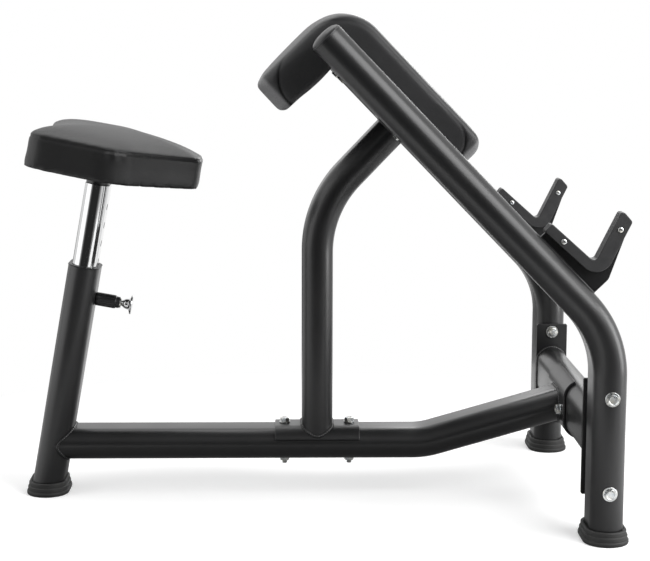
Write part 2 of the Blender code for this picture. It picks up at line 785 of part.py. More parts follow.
def make_centre_post(beam_holes):
    """The post, the saddle it is welded to, and the two bolts that clamp the saddle on the beam."""
    half = POST_SADDLE_LENGTH / 2
    loops = prism(saddle_outline(), -half, half, along_x)
    saddle = mesh_of("post saddle", loops)
    piece("post_saddle", saddle, "powder_coat", (POST_X, 0, BEAM_Z), cutters=beam_holes)

    head, _ = post_head()
    path = bent_path((POST_X, BEAM_Z), (POST_X, POST_KNEE_Z), head, POST_KNEE_RADIUS)
    slope = (-math.cos(SLANT_ANGLE), math.sin(SLANT_ANGLE))
    tube = mesh_of("centre post", tube_loops(path, end_face=slope), ring=True)
    cope = mesh_of("post cope", prism(saddle_cope(), -TUBE_LONG, TUBE_LONG, along_x))
    post_cope = cutter("post cope", cope, (POST_X, 0, BEAM_Z))
    piece("centre_post", tube, "powder_coat", cutters=[post_cope])

    top = BEAM_Z + SADDLE_OUTER + GAP
    bottom = BEAM_Z - TUBE_HALF - GAP
    length = top - bottom + stack_height(FRAME_BOLT) + THREAD_PAST_NUT
    bolt = bolt_mesh("post bolt", FRAME_BOLT, length)
    nut = nut_mesh("post nut", FRAME_BOLT)
    for end_name, x in (("rear", -POST_BOLT_X), ("front", POST_BOLT_X)):
        piece(f"{end_name}_post_bolt", bolt, "zinc", (POST_X + x, 0, top))
        piece(f"{end_name}_post_nut", nut, "zinc", (POST_X + x, 0, bottom), (math.pi, 0, 0))


def make_rails(slant_frame):
    """Two flat rails under the pad, coped to the slanted tubes. The post meets the lower one."""
    _, lower_t = post_head()
    grown = oval(TUBE_SHORT + 2 * GAP, TUBE_LONG + 2 * GAP)
    reach = (SLANT_LENGTH / 2, SLANT_LENGTH)
    cope = mesh_of("tube cope", [[(-t, v, u) for u, v in grown] for t in reach])
    copes = []
    for side, y in (("right", -LEG_HALF_SPREAD), ("left", LEG_HALF_SPREAD)):
        copes.append(cutter(f"{side} tube cope", cope, (0, y, 0), parent=slant_frame))

    def section(drawn_in):
        half = RAIL_WIDTH / 2 - drawn_in
        deep = RAIL_DEPTH / 2 - drawn_in
        corners = [(-half, -deep), (half, -deep), (half, deep), (-half, deep)]
        return rounded(corners, [RAIL_CORNER - drawn_in / 2] * 4, steps=2)

    end = LEG_HALF_SPREAD - TUBE_FLAT
    outside = [[(a, y, b) for a, b in section(0)] for y in (-end, end)]
    inside = [[(a, y, b) for a, b in section(RAIL_WALL)] for y in (end, -end)]
    rail = mesh_of("pad rail", outside + inside, ring=True)

    bite = RAIL_DEPTH + GAP + PAD_BOLT_BITE
    drill = drill_mesh("pad bolt hole", PAD_BOLT[4] + HOLE_GAP, -bite - GAP, CUT_PAST)
    bolt = bolt_mesh("pad bolt", PAD_BOLT, bite)
    head_down = (math.pi, 0, 0)
    holes = []
    upper_t = pad_corner()[0] - RAIL_FROM_BEND - RAIL_WIDTH / 2
    for level, t in (("upper", upper_t), ("lower", lower_t)):
        rail_holes = []
        for side, y in (("right", -PAD_BOLT_Y), ("left", PAD_BOLT_Y)):
            place = (-t, y, RAIL_BOTTOM - GAP)
            name = f"{side} {level} pad bolt hole"
            rail_holes.append(cutter(name, drill, place, head_down, slant_frame))
            piece(f"{side}_{level}_pad_bolt", bolt, "zinc", place, head_down, slant_frame)
        place = (-t, 0, RAIL_MIDDLE)
        cuts = copes + rail_holes
        piece(f"{level}_pad_rail", rail, "powder_coat", place, parent=slant_frame, cutters=cuts)
        holes += rail_holes
    return holes


def rounding(distance, radius):
    """How far a round corner stands back, at a distance from the end that it rounds off."""
    if distance >= radius:
        return 0.0
    return radius - math.sqrt(radius**2 - (radius - distance) ** 2)


def board_loops(grow, below):
    """Both pad boards, each as rings of four points. The cushion's recesses are the same boards, grown."""
    centre_t, centre_n = pad_corner()
    half = PAD_HALF_WIDTH - BOARD_INSET + grow
    plan = PAD_PLAN_RADIUS - BOARD_INSET
    top = PAD_UNDERSIDE + BOARD_THICK + grow
    corner_radius = PAD_INNER_BEND + BOARD_THICK + grow
    inner_t = centre_t + PAD_INNER_BEND

    low_end = SLANT_LENGTH + PAD_PAST_TUBE - PAD_ARM_LENGTH + BOARD_INSET - grow
    arm = []
    for share in BOARD_END_STEPS:
        away = share * plan
        width = half - rounding(away, plan)
        arm.append((low_end + away, width, top))
    far = inner_t - GAP + grow
    for share in BOARD_ARM_BEND:
        t = centre_t + (far - centre_t) * share
        arm.append((t, half, centre_n + math.sqrt(corner_radius**2 - (t - centre_t) ** 2)))
    floor = PAD_UNDERSIDE - below
    arm_loops = [
        [(-t, -w, floor), (-t, w, floor), (-t, w, roof), (-t, -w, roof)] for t, w, roof in arm
    ]

    low_n = PAD_FACE - PAD_CHEST_LENGTH + BOARD_INSET - grow
    back = inner_t - below
    front = inner_t + BOARD_THICK + grow
    chest = []
    for share in BOARD_END_STEPS:
        away = share * plan
        chest.append((low_n + away, half - rounding(away, plan), front))
    for share in BOARD_CHEST_BEND:
        n = centre_n + corner_radius * share
        reach = corner_radius * math.sqrt(1 - share**2)
        chest.append((n, half, centre_t + reach))
    chest_loops = [
        [(-back, -w, n), (-back, w, n), (-face, w, n), (-face, -w, n)] for n, w, face in chest
    ]
    return arm_loops, chest_loops


def pad_corner():
    """Centre of the bend between the arm part and the chest part, up the slope and square to it."""
    thickness = PAD_FACE - PAD_UNDERSIDE
    t = SLANT_LENGTH + PAD_PAST_TUBE - thickness - PAD_INNER_BEND
    return t, PAD_UNDERSIDE - PAD_INNER_BEND


def pad_stations():
    """From the pad's arm end to its chest end: points on its inner side, the way out, and the place along."""
    centre_t, centre_n = pad_corner()
    low_end = SLANT_LENGTH + PAD_PAST_TUBE - PAD_ARM_LENGTH
    chest_end = PAD_FACE - PAD_CHEST_LENGTH
    arm = centre_t - low_end
    chest = centre_n - chest_end
    bend = PAD_INNER_BEND * math.pi / 2
    near_end = [PAD_PLAN_RADIUS * share for share in PAD_END_STEPS]
    arm_rest = (arm - PAD_PLAN_RADIUS) / PAD_ARM_STEPS
    chest_rest = (chest - PAD_PLAN_RADIUS) / PAD_CHEST_STEPS
    stations = []
    places = near_end + [PAD_PLAN_RADIUS + arm_rest * i for i in range(1, PAD_ARM_STEPS + 1)]
    for place in places:
        stations.append(((low_end + place, PAD_UNDERSIDE), (0, 1), place))
    for i in range(1, PAD_BEND_STEPS):
        angle = math.pi / 2 * (1 - i / PAD_BEND_STEPS)
        out = (math.cos(angle), math.sin(angle))
        point = (centre_t + PAD_INNER_BEND * out[0], centre_n + PAD_INNER_BEND * out[1])
        stations.append((point, out, arm + bend * i / PAD_BEND_STEPS))
    places = [PAD_PLAN_RADIUS + chest_rest * i for i in range(PAD_CHEST_STEPS, 0, -1)]
    for place in places + near_end[::-1]:
        point = (centre_t + PAD_INNER_BEND, chest_end + place)
        stations.append((point, (1, 0), arm + bend + chest - place))
    return stations, arm + bend + chest


def pad_back(place, length):
    """How far the pad's inner side stands in: rounded off at both ends, and swollen halfway down the chest."""
    centre_n = pad_corner()[1]
    chest = centre_n - (PAD_FACE - PAD_CHEST_LENGTH)
    share = max(0.0, (place - (length - chest)) / (chest - PAD_PLAN_RADIUS))
    swell = PAD_BACK_SWELL * math.sin(math.pi * share) if share < 1 else 0.0
    return rounding(min(place, length - place), PAD_BACK_RADIUS) - swell


def pad_section(half, depth, crown, back):
    """Across the pad: flat inside, upright sides, rounded edges and a crowned face."""
    edge = PAD_EDGE_RADIUS
    halfway = edge * (1 - math.cos(math.pi / 4))
    right = [
        (half - PAD_HEM_IN, back),
        (half, back + PAD_HEM_HEIGHT),
        (half, depth * PAD_SIDE_STEP),
        (half, depth - edge),
        (half - halfway, depth - halfway),
        (half - edge, depth),
    ]
    face = []
    inner = half - edge
    for share in PAD_FACE_STEPS:
        face.append((inner * share, depth + crown * (1 - share**2)))
    left = [(-y, d) for y, d in (right + face[:-1])[::-1]]
    return right + face + left


def make_pad(slant_frame, holes):
    """The L-shaped pad: two boards and the upholstery that wraps them."""
    stations, length = pad_stations()
    depth = PAD_FACE - PAD_UNDERSIDE
    loops = []
    for (t, n), (out_t, out_n), place in stations:
        end = min(place, length - place)
        share = place / length
        half = PAD_HALF_WIDTH - rounding(end, PAD_PLAN_RADIUS) - PAD_DRAW * math.sin(math.pi * share)
        end_radius = PAD_ARM_END_RADIUS if place < length / 2 else PAD_CHEST_END_RADIUS
        deep = depth + (PAD_CHEST_THICK - depth) * out_t**2 - rounding(end, end_radius)
        deep += PAD_BEND_FULL * (2 * out_t * out_n) ** 2
        crown = PAD_CROWN * math.sin(math.pi * min(1.0, end / PAD_CROWN_RAMP) / 2)
        section = pad_section(half, deep, crown, pad_back(place, length))
        loops.append([(-(t + out_t * d), y, n + out_n * d) for y, d in section])
    arm_space, chest_space = board_loops(GAP, CUT_PAST)
    spaces = []
    for name, space in (("arm board recess", arm_space), ("chest board recess", chest_space)):
        spaces.append(cutter(name, mesh_of(name, space), parent=slant_frame))
    cushion = mesh_of("pad cushion", loops)
    piece("pad_cushion", cushion, "vinyl", parent=slant_frame, cutters=spaces)
    arm, chest = board_loops(0, 0)
    piece("arm_board", mesh_of("arm board", arm), "plywood", parent=slant_frame, cutters=holes)
    piece("chest_board", mesh_of("chest board", chest), "plywood", parent=slant_frame)


def catch_corners():
    """The V of a catch in (t, n): corner, arms, ways inwards, ends, drop of the tip, and heel."""
    corner = Vector((CATCH_CORNER_T, CATCH_CORNER_N))
    back = turned_vector(Vector((1, 0)), CATCH_BACK_TURN)
    hook = turned_vector(Vector((1, 0)), CATCH_HOOK_TURN)
    back_in = Vector((back.y, -back.x))
    hook_in = Vector((-hook.y, hook.x))
    back_end = corner + back * CATCH_ARM
    hook_end = corner + hook * CATCH_ARM
    heel = line_crossing(
        corner + back_in * CATCH_BACK_BAND, back, corner + hook_in * CATCH_HOOK_BAND, hook
    )
    return {
        "corner": corner,
        "back": back,
        "hook": hook,
        "back_in": back_in,
        "hook_in": hook_in,
        "back_end": back_end,
        "hook_end": hook_end,
        "tip_drop": hook * CATCH_TIP_DROP,
        "heel": Vector(heel),
    }


def make_catches(slant_frame):
    """Two V-shaped bar catches: a steel plate on the tube, and a moulded liner screwed over it."""
    v = catch_corners()
    liner_corners = [
        v["back_end"],
        v["corner"],
        v["hook_end"],
        v["hook_end"] - v["tip_drop"] + v["hook_in"] * CATCH_HOOK_BAND,
        v["heel"],
        v["back_end"] + v["back_in"] * CATCH_BACK_BAND,
    ]
    liner_radii = [
        LINER_END_RADIUS,
        CATCH_FILLET,
        LINER_TIP_RADIUS,
        LINER_TIP_RADIUS,
        CATCH_OUTER_FILLET,
        LINER_END_RADIUS,
    ]

    inner = v["corner"] + line_in(v)
    back_top = v["back_end"] - v["back"] * LINER_END + v["back_in"] * LINER_SKIN
    hook_tip = v["hook_end"] - v["hook"] * LINER_END
    base = TUBE_HALF + GAP
    plate_corners = [
        (back_top.x, base),
        tuple(back_top),
        tuple(inner),
        tuple(hook_tip + v["hook_in"] * LINER_SKIN),
        tuple(hook_tip - v["tip_drop"] + v["hook_in"] * (CATCH_HOOK_BAND - GAP)),
        (CATCH_HEEL_T, CATCH_HEEL_N),
        (CATCH_HEEL_T, base),
    ]
    plate_radii = [
        PLATE_FOOT_RADIUS,
        PLATE_END_RADIUS,
        CATCH_FILLET + LINER_SKIN,
        PLATE_TIP_RADIUS,
        LINER_TIP_RADIUS,
        CATCH_HEEL_FILLET,
        PLATE_FOOT_RADIUS,
    ]
    half = CATCH_PLATE_THICK / 2
    plate_outline = rounded(plate_corners, plate_radii, steps=4)
    plate = mesh_of("catch plate", prism(plate_outline, -half, half, slope_along_y))
    slot_corners = inset(plate_corners, [-GAP] * len(plate_corners))
    slot_outline = rounded(slot_corners, plate_radii, steps=4)
    slot = mesh_of("catch slot", prism(slot_outline, -half - GAP, half + GAP, slope_along_y))
    liner_outline = rounded(liner_corners, liner_radii, steps=6)
    width = CATCH_WIDTH / 2
    liner = mesh_of("catch liner", prism(liner_outline, -width, width, slope_along_y))

    screw_length = CATCH_WIDTH + GAP
    screw = mesh_of(
        "catch screw",
        [
            circle(SCREW_RADIUS, -screw_length),
            circle(SCREW_RADIUS, 0),
            circle(SCREW_HEAD, 0),
            circle(SCREW_HEAD, SCREW_HEAD_HEIGHT * SCREW_RIM),
            circle(SCREW_HEAD * SCREW_CROWN, SCREW_HEAD_HEIGHT),
        ],
    )
    drill = drill_mesh("catch screw hole", SCREW_RADIUS + HOLE_GAP, -CATCH_WIDTH - CUT_PAST, CUT_PAST)
    outwards = (math.pi / 2, 0, 0)
    for side, middle in (("right", -LEG_HALF_SPREAD), ("left", LEG_HALF_SPREAD)):
        slot_cutter = cutter(f"{side} catch slot", slot, (0, middle, 0), parent=slant_frame)
        holes = []
        screws = (("back", CATCH_BACK_SCREW, CATCH_BACK_BAND), ("hook", CATCH_HOOK_SCREW, CATCH_HOOK_BAND))
        for arm, away, band in screws:
            spot = v["corner"] + v[arm] * away + v[f"{arm}_in"] * (band / 2)
            place = (-spot.x, middle - width - GAP, spot.y)
            holes.append(cutter(f"{side} {arm} screw hole", drill, place, outwards, slant_frame))
            piece(f"{side}_{arm}_catch_screw", screw, "zinc", place, outwards, slant_frame)
        place = (0, middle, 0)
        piece(f"{side}_catch_plate", plate, "powder_coat", place, parent=slant_frame, cutters=holes)
        cuts = [slot_cutter, *holes]
        piece(f"{side}_catch_liner", liner, "liner_black", place, parent=slant_frame, cutters=cuts)


def line_in(v):
    """From the V's corner to the plate's own corner, which lies one liner skin inside both arms."""
    meeting = line_crossing(v["back_in"] * LINER_SKIN, v["back"], v["hook_in"] * LINER_SKIN, v["hook"])
    return Vector(meeting)


def make_sleeve(sleeve_frame):
    """The leaning sleeve and the bush in its mouth."""
    start = FOOT_END_Z / math.cos(SLEEVE_LEAN)
    path = [(Vector((0, start)), Vector((0, 1))), (Vector((0, SLEEVE_LENGTH)), Vector((0, 1)))]
    floor_line = (1, math.tan(SLEEVE_LEAN))
    tube = mesh_of("sleeve tube", tube_loops(path, start_face=floor_line), ring=True)
    drill = drill_mesh("plunger hole", PIN_RADIUS + HOLE_GAP, 0, TUBE_SHORT)
    hole = cutter("plunger hole", drill, (0, 0, PIN_HEIGHT), (0, math.pi / 2, 0), sleeve_frame)
    piece("sleeve_tube", tube, "powder_coat", parent=sleeve_frame, cutters=[hole])

    outer = (TUBE_SHORT - 2 * (TUBE_WALL + GAP), TUBE_LONG - 2 * (TUBE_WALL + GAP))
    bore = (outer[0] - 2 * BUSH_WALL, outer[1] - 2 * BUSH_WALL)
    lip = (TUBE_SHORT + 2 * BUSH_COLLAR_LIP, TUBE_LONG + 2 * BUSH_COLLAR_LIP)
    seat = SLEEVE_LENGTH + GAP
    top = seat + BUSH_COLLAR
    rings = [
        (outer, SLEEVE_LENGTH - BUSH_DEPTH),
        (outer, seat),
        (lip, seat),
        (lip, top - BUSH_CHAMFER),
        ((lip[0] - 2 * BUSH_CHAMFER, lip[1] - 2 * BUSH_CHAMFER), top),
        (bore, top),
        (bore, SLEEVE_LENGTH - BUSH_DEPTH),
    ]
    loops = [[(u, v, z) for u, v in oval(*size)] for size, z in rings]
    bush = mesh_of("sleeve bush", loops, ring=True)
    piece("sleeve_bush", bush, "moulded_black", parent=sleeve_frame)


def make_pull_pin(sleeve_frame):
    """The spring-loaded pull pin on the front of the sleeve, every piece of it round about local Z."""
    face = TUBE_HALF + GAP
    barrel_end = face + BARREL_LENGTH
    spin = (0, math.pi / 2, 0)
    place = (0, 0, PIN_HEIGHT)
    bore = PIN_RADIUS + HOLE_GAP
    wall = BARREL_WALL
    neck = barrel_end - BARREL_NECK
    neck_radius = BARREL_RADIUS - BARREL_NECK_IN

    def fluted(radius, height):
        return circle(radius, height, BARREL_SIDES, flute=FLUTE_DEPTH)

    def plain(radius, height, sides=BARREL_SIDES):
        return circle(radius, height, sides)

    barrel = [
        plain(BARREL_RADIUS - BARREL_CHAMFER, face),
        fluted(BARREL_RADIUS, face + BARREL_CHAMFER),
        fluted(BARREL_RADIUS, neck - BARREL_NECK_SLOPE),
        plain(neck_radius, neck),
        plain(neck_radius, barrel_end),
        plain(bore, barrel_end),
        plain(bore, barrel_end - wall),
        plain(BARREL_CHAMBER, barrel_end - wall),
        plain(BARREL_CHAMBER, face + wall),
        plain(bore, face + wall),
        plain(bore, face),
    ]
    mesh = mesh_of("pin barrel", barrel, ring=True)
    piece("pin_barrel", mesh, "moulded_black", place, spin, sleeve_frame)

    nut_end = barrel_end + GAP + CAP_NUT_LENGTH
    nut = [
        plain(CAP_NUT_RADIUS, barrel_end + GAP),
        plain(CAP_NUT_RADIUS, nut_end - CAP_NUT_CHAMFER),
        plain(CAP_NUT_RADIUS - CAP_NUT_CHAMFER, nut_end),
        plain(bore, nut_end),
        plain(bore, barrel_end + GAP),
    ]
    piece("barrel_nut", mesh_of("barrel nut", nut, ring=True), "zinc", place, spin, sleeve_frame)

    slide = empty("pin_slide", place, spin, sleeve_frame)
    tip = SEAT_POST_SHORT / 2 + GAP
    collar = face + wall + COLLAR_SLACK
    knob = nut_end + GAP
    plunger = [
        circle(PIN_RADIUS - TIP_CHAMFER, tip),
        circle(PIN_RADIUS, tip + TIP_CHAMFER),
        circle(PIN_RADIUS, collar),
        circle(BARREL_CHAMBER - 2 * HOLE_GAP, collar),
        circle(BARREL_CHAMBER - 2 * HOLE_GAP, collar + COLLAR_THICK),
        circle(PIN_RADIUS, collar + COLLAR_THICK),
        circle(PIN_RADIUS, knob),
        circle(STUD_RADIUS, knob),
        circle(STUD_RADIUS, knob + KNOB_LENGTH / 2),
    ]
    piece("plunger", mesh_of("plunger", plunger), "zinc", parent=slide)

    stud_hole = STUD_RADIUS + HOLE_GAP
    start = knob + GAP
    end = start + KNOB_LENGTH
    profile = [
        (stud_hole, knob + KNOB_LENGTH / 2 + HOLE_GAP),
        (stud_hole, start),
        (KNOB_RADII[0], start),
    ]
    profile += [(radius, start + KNOB_LENGTH * share) for radius, share in zip(KNOB_RADII, KNOB_PLACES)]
    profile += [
        (KNOB_RADIUS, start + KNOB_LENGTH * KNOB_RIM_START),
        (KNOB_RADIUS, start + KNOB_LENGTH * KNOB_RIM_END),
        (KNOB_RADIUS - KNOB_FACE_IN, end),
        (KNOB_RADIUS / 2, end + KNOB_DOME),
    ]
    loops = [circle(radius, height, BARREL_SIDES) for radius, height in profile]
    piece("pull_knob", mesh_of("pull knob", loops), "chrome", parent=slide)

    low = collar + COLLAR_THICK + HOLE_GAP + SPRING_WIRE
    high = barrel_end - wall - HOLE_GAP - SPRING_WIRE
    coil = (PIN_RADIUS + BARREL_CHAMBER) / 2
    mesh = mesh_of("pin spring", coil_loops(coil, low, high))
    piece("pin_spring", mesh, "zinc", place, spin, sleeve_frame)
    gap = (high - low) / SPRING_TURNS - 2 * SPRING_WIRE
    print(f"pin spring: least gap between turns {gap * 1000:.2f} mm")


def coil_loops(radius, low, high):
    """Rings of a wire wound about Z."""
    count = SPRING_TURNS * SPRING_STEPS
    rise = (high - low) / (SPRING_TURNS * 2 * math.pi)
    loops = []
    for i in range(count + 1):
        angle = 2 * math.pi * i / SPRING_STEPS
        out = Vector((math.cos(angle), math.sin(angle), 0))
        along = Vector((-radius * out.y, radius * out.x, rise)).normalized()
        up = along.cross(out)
        centre = out * radius + Vector((0, 0, low + rise * angle))
        ring = []
        for k in range(SPRING_WIRE_SIDES):
            turn = 2 * math.pi * k / SPRING_WIRE_SIDES
            ring.append(centre + (out * math.cos(turn) + up * math.sin(turn)) * SPRING_WIRE)
        loops.append(ring)
    return loops


def seat_outline(drawn_in):
    """Plan of the seat, wide behind and narrow at the nose, drawn in evenly. X is forward, Y to the left."""
    corners = [
        (SEAT_NOSE, -SEAT_NOSE_HALF),
        (SEAT_NOSE, SEAT_NOSE_HALF),
        (SEAT_KINK, SEAT_KINK_HALF),
        (-SEAT_REAR, SEAT_REAR_HALF),
        (-SEAT_REAR, -SEAT_REAR_HALF),
        (SEAT_KINK, -SEAT_KINK_HALF),
    ]
    corners = inset(corners, [drawn_in] * len(corners))
    right_radii = [SEAT_NOSE_RADIUS, SEAT_KINK_RADIUS, SEAT_REAR_RADIUS]
    radii = [right_radii[i] for i in (0, 0, 1, 2, 2, 1)]
    radii = [max(radius - drawn_in, SEAT_LEAST_RADIUS) for radius in radii]
    draws = [0, SEAT_DRAW, SEAT_SIDE_DRAW, SEAT_REAR_DRAW, SEAT_SIDE_DRAW, SEAT_DRAW]
    return rounded(corners, radii, steps=5, draws=draws, middles=3)


def seat_swell(x):
    """How soon the seat's top panel falls off towards its seam at a place along the seat."""
    along = (x + SEAT_REAR) / (SEAT_NOSE + SEAT_REAR)
    return SEAT_SWELL_REAR + (SEAT_SWELL_NOSE - SEAT_SWELL_REAR) * along**2


def seat_lip(x):
    """How far the seat's side band hangs below its board at a place along the seat."""
    along = (x + SEAT_REAR) / (SEAT_NOSE + SEAT_REAR)
    return SEAT_LIP * (1 - min(along, 1.0) ** 4)


def make_seat(sleeve_frame):
    """The seat and its post, all of which slides along the sleeve."""
    slide = empty("seat_slide", (0, 0, 0), (0, 0, 0), sleeve_frame)
    path = [
        (Vector((0, SEAT_POST_BOTTOM)), Vector((0, 1))),
        (Vector((0, SEAT_POST_TOP)), Vector((0, 1))),
    ]
    size = {"short": SEAT_POST_SHORT, "long": SEAT_POST_LONG, "wall": SEAT_POST_WALL}
    tube = mesh_of("seat post", tube_loops(path, **size), ring=True)
    drill = drill_mesh("post hole", HOLE_RADIUS, SEAT_POST_SHORT / 4, SEAT_POST_SHORT)
    holes = []
    for i in range(HOLE_COUNT):
        place = (0, 0, PIN_HEIGHT + i * HOLE_PITCH)
        holes.append(cutter(f"post hole {i + 1}", drill, place, (0, math.pi / 2, 0), slide))
    piece("seat_post", tube, "chrome", parent=slide, cutters=holes)

    bore = (
        SEAT_POST_SHORT - 2 * (SEAT_POST_WALL + GAP),
        SEAT_POST_LONG - 2 * (SEAT_POST_WALL + GAP),
    )
    room = (TUBE_SHORT - 2 * (TUBE_WALL + GAP), TUBE_LONG - 2 * (TUBE_WALL + GAP))
    foot = SEAT_POST_BOTTOM - GAP
    rings = [
        (room, foot - GUIDE_BELOW),
        (room, foot),
        (bore, foot),
        (bore, SEAT_POST_BOTTOM + GUIDE_INSIDE),
    ]
    loops = [[(u, v, z) for u, v in oval(*size)] for size, z in rings]
    piece("post_guide", mesh_of("post guide", loops), "moulded_black", parent=slide)

    neck = (MOUNT_NECK_SHORT, MOUNT_NECK_LONG)
    plate = (MOUNT_PLATE_SHORT, MOUNT_PLATE_LONG)
    rings = [
        (bore, SEAT_POST_TOP - MOUNT_SPIGOT),
        (bore, MOUNT_BOTTOM),
        (neck, MOUNT_BOTTOM),
        (neck, PLATE_BOTTOM),
        (plate, PLATE_BOTTOM),
        (plate, PLATE_BOTTOM + MOUNT_PLATE_THICK),
    ]
    loops = [[(u, v, z) for u, v in oval(*size)] for size, z in rings]
    grip = MOUNT_PLATE_THICK + GAP + SEAT_BOLT_BITE
    drill = drill_mesh("seat bolt hole", PAD_BOLT[4] + HOLE_GAP, -grip - GAP, CUT_PAST)
    bolt = bolt_mesh("seat bolt", PAD_BOLT, grip)
    head_down = (math.pi, 0, 0)
    bolt_holes = []
    for side, y in (("right", -SEAT_BOLT_Y), ("left", SEAT_BOLT_Y)):
        place = (0, y, PLATE_BOTTOM - GAP)
        bolt_holes.append(cutter(f"{side} seat bolt hole", drill, place, head_down, slide))
        piece(f"{side}_seat_bolt", bolt, "zinc", place, head_down, slide)
    mount = mesh_of("seat mount", loops)
    piece("seat_mount", mount, "powder_coat", parent=slide, cutters=bolt_holes)

    board = seat_outline(SEAT_BOARD_INSET)
    board_top = SEAT_BOTTOM + SEAT_BOARD_THICK
    mesh = mesh_of("seat board", prism(board, SEAT_BOTTOM, board_top, along_z))
    piece("seat_board", mesh, "plywood", parent=slide, cutters=bolt_holes)
    space = seat_outline(SEAT_BOARD_INSET - GAP)
    mesh = mesh_of("seat recess", prism(space, SEAT_BOTTOM - CUT_PAST, board_top + GAP, along_z))
    recess = cutter("seat recess", mesh, parent=slide)

    loops = [[(x, y, SEAT_BOTTOM) for x, y in seat_outline(SEAT_LIP_IN)]]
    sides = [SEAT_HEM_IN, 0.0, SEAT_HOLLOW, 0.0, SEAT_SEAM_IN]
    for drawn_in, share in zip(sides, SEAT_SIDE_SHARES):
        height = SEAT_BOTTOM + SEAT_BAND * share
        loops.append([(x, y, height - seat_lip(x) * (1 - share)) for x, y in seat_outline(drawn_in)])
    edge = seat_outline(SEAT_SEAM_IN)
    middle = (SEAT_NOSE - SEAT_REAR) / 2 - SEAT_CROWN_BACK
    for share in SEAT_TOP_SHARES:
        loop = []
        for x, y in edge:
            height = SEAT_BOTTOM + SEAT_BAND + SEAT_CROWN * (1 - share**2) ** seat_swell(x)
            loop.append((middle + (x - middle) * share, y * share, height))
        loops.append(loop)
    piece("seat_cushion", mesh_of("seat cushion", loops), "vinyl", parent=slide, cutters=[recess])


def main():
    clear_scene()
    slant_frame = empty("slant_frame", (LEG_X, 0, KNEE_Z), (0, SLANT_ANGLE, 0))
    sleeve_frame = empty("sleeve_frame", (SLEEVE_X, 0, 0), (0, SLEEVE_LEAN, 0))
    make_foot_caps()
    make_legs(slant_frame)
    make_cross_tube()
    beam_holes = make_beam()
    make_centre_post(beam_holes)
    board_holes = make_rails(slant_frame)
    make_pad(slant_frame, board_holes)
    make_catches(slant_frame)
    make_sleeve(sleeve_frame)
    make_pull_pin(sleeve_frame)
    make_seat(sleeve_frame)


main()
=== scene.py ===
# %% [markdown]
# # Dressing a preacher bench
#
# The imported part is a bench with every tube, plate, bolt and cushion in its real place.
# This lesson gives it the looks of a studio picture: finely rounded tubes, weld beads,
# stuffed vinyl cushions, chrome, rubber and zinc.
# The frame is loaded first, because every later piece is measured from it.

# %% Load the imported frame
import math

import bmesh
import bpy
import numpy as np
from mathutils import Matrix, Vector


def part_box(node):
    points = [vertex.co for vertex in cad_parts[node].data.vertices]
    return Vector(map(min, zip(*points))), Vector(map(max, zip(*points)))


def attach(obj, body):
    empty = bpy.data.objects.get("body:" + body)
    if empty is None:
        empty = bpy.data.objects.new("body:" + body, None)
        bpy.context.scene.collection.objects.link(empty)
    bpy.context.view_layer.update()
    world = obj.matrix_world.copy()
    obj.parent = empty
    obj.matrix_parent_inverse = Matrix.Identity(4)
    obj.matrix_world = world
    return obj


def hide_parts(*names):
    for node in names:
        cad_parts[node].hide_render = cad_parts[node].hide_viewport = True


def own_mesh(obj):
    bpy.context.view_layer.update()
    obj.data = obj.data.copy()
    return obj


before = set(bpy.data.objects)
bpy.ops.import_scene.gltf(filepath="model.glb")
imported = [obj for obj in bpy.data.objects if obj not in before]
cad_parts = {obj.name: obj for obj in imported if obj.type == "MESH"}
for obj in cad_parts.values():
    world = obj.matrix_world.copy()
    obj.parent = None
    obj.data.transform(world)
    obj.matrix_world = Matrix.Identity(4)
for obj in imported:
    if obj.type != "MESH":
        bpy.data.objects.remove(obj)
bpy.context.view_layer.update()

# %% [markdown]
# ## Camera
#
# The picture was taken with a long lens, a little above the seat and looking slightly down.
# A camera could be aimed by eye, but tube edges and feet give enough lines to work it out.
# Pitch, yaw and roll are kept as plain angles, so each can be read and changed alone.

# %% Aim the camera
CAMERA_PLACE = Vector((-0.0515, -3.2345, 0.8948))
PITCH = math.radians(8.41)
YAW = math.radians(1.37)
ROLL = math.radians(0.14)
PICTURE_WIDTH = 650
FOCAL_PIXELS = 1680
SENSOR = 36.0


def aim_camera():
    """Stand the camera where the picture was taken from."""
    forward = Vector((math.sin(YAW) * math.cos(PITCH), math.cos(YAW) * math.cos(PITCH), -math.sin(PITCH)))
    right = Vector((math.cos(YAW), -math.sin(YAW), 0))
    up = right.cross(forward)
    rolled = right * math.cos(ROLL) + up * math.sin(ROLL)
    up = rolled.cross(forward)
    camera = bpy.data.objects.new("camera", bpy.data.cameras.new("camera"))
    bpy.context.scene.collection.objects.link(camera)
    turned = Matrix((rolled, up, -forward)).transposed().to_4x4()
    camera.matrix_world = Matrix.Translation(CAMERA_PLACE) @ turned
    camera.data.sensor_width = SENSOR
    camera.data.lens = SENSOR * FOCAL_PIXELS / PICTURE_WIDTH
    bpy.context.scene.camera = camera
    return camera


camera = aim_camera()
bpy.context.scene.view_settings.view_transform = "Standard"
print("lens", round(camera.data.lens, 1), "mm")

# %% [markdown]
# ## Trees of nodes
#
# Light and finishes are both built as trees of nodes, and adding each node by hand takes many
# lines. Three helpers keep the trees readable: one adds a node and joins its inputs, one makes
# a sum or comparison, and one makes a colour ramp.

# %% Helpers for node trees
def node(tree, kind, inputs=None, **settings):
    """Add a node: settings are its own properties, and inputs are sockets to join or values to set."""
    made = tree.nodes.new(kind)
    for name, value in settings.items():
        setattr(made, name, value)
    for name, value in (inputs or {}).items():
        socket = made.inputs[name]
        if isinstance(value, bpy.types.NodeSocket):
            tree.links.new(value, socket)
        else:
            socket.default_value = value
    return made


def math_node(tree, operation, first, second=0.0, third=0.0):
    """Join a sum, product or comparison, and give its result."""
    made = node(tree, "ShaderNodeMath", {0: first, 1: second, 2: third}, operation=operation)
    return made.outputs[0]


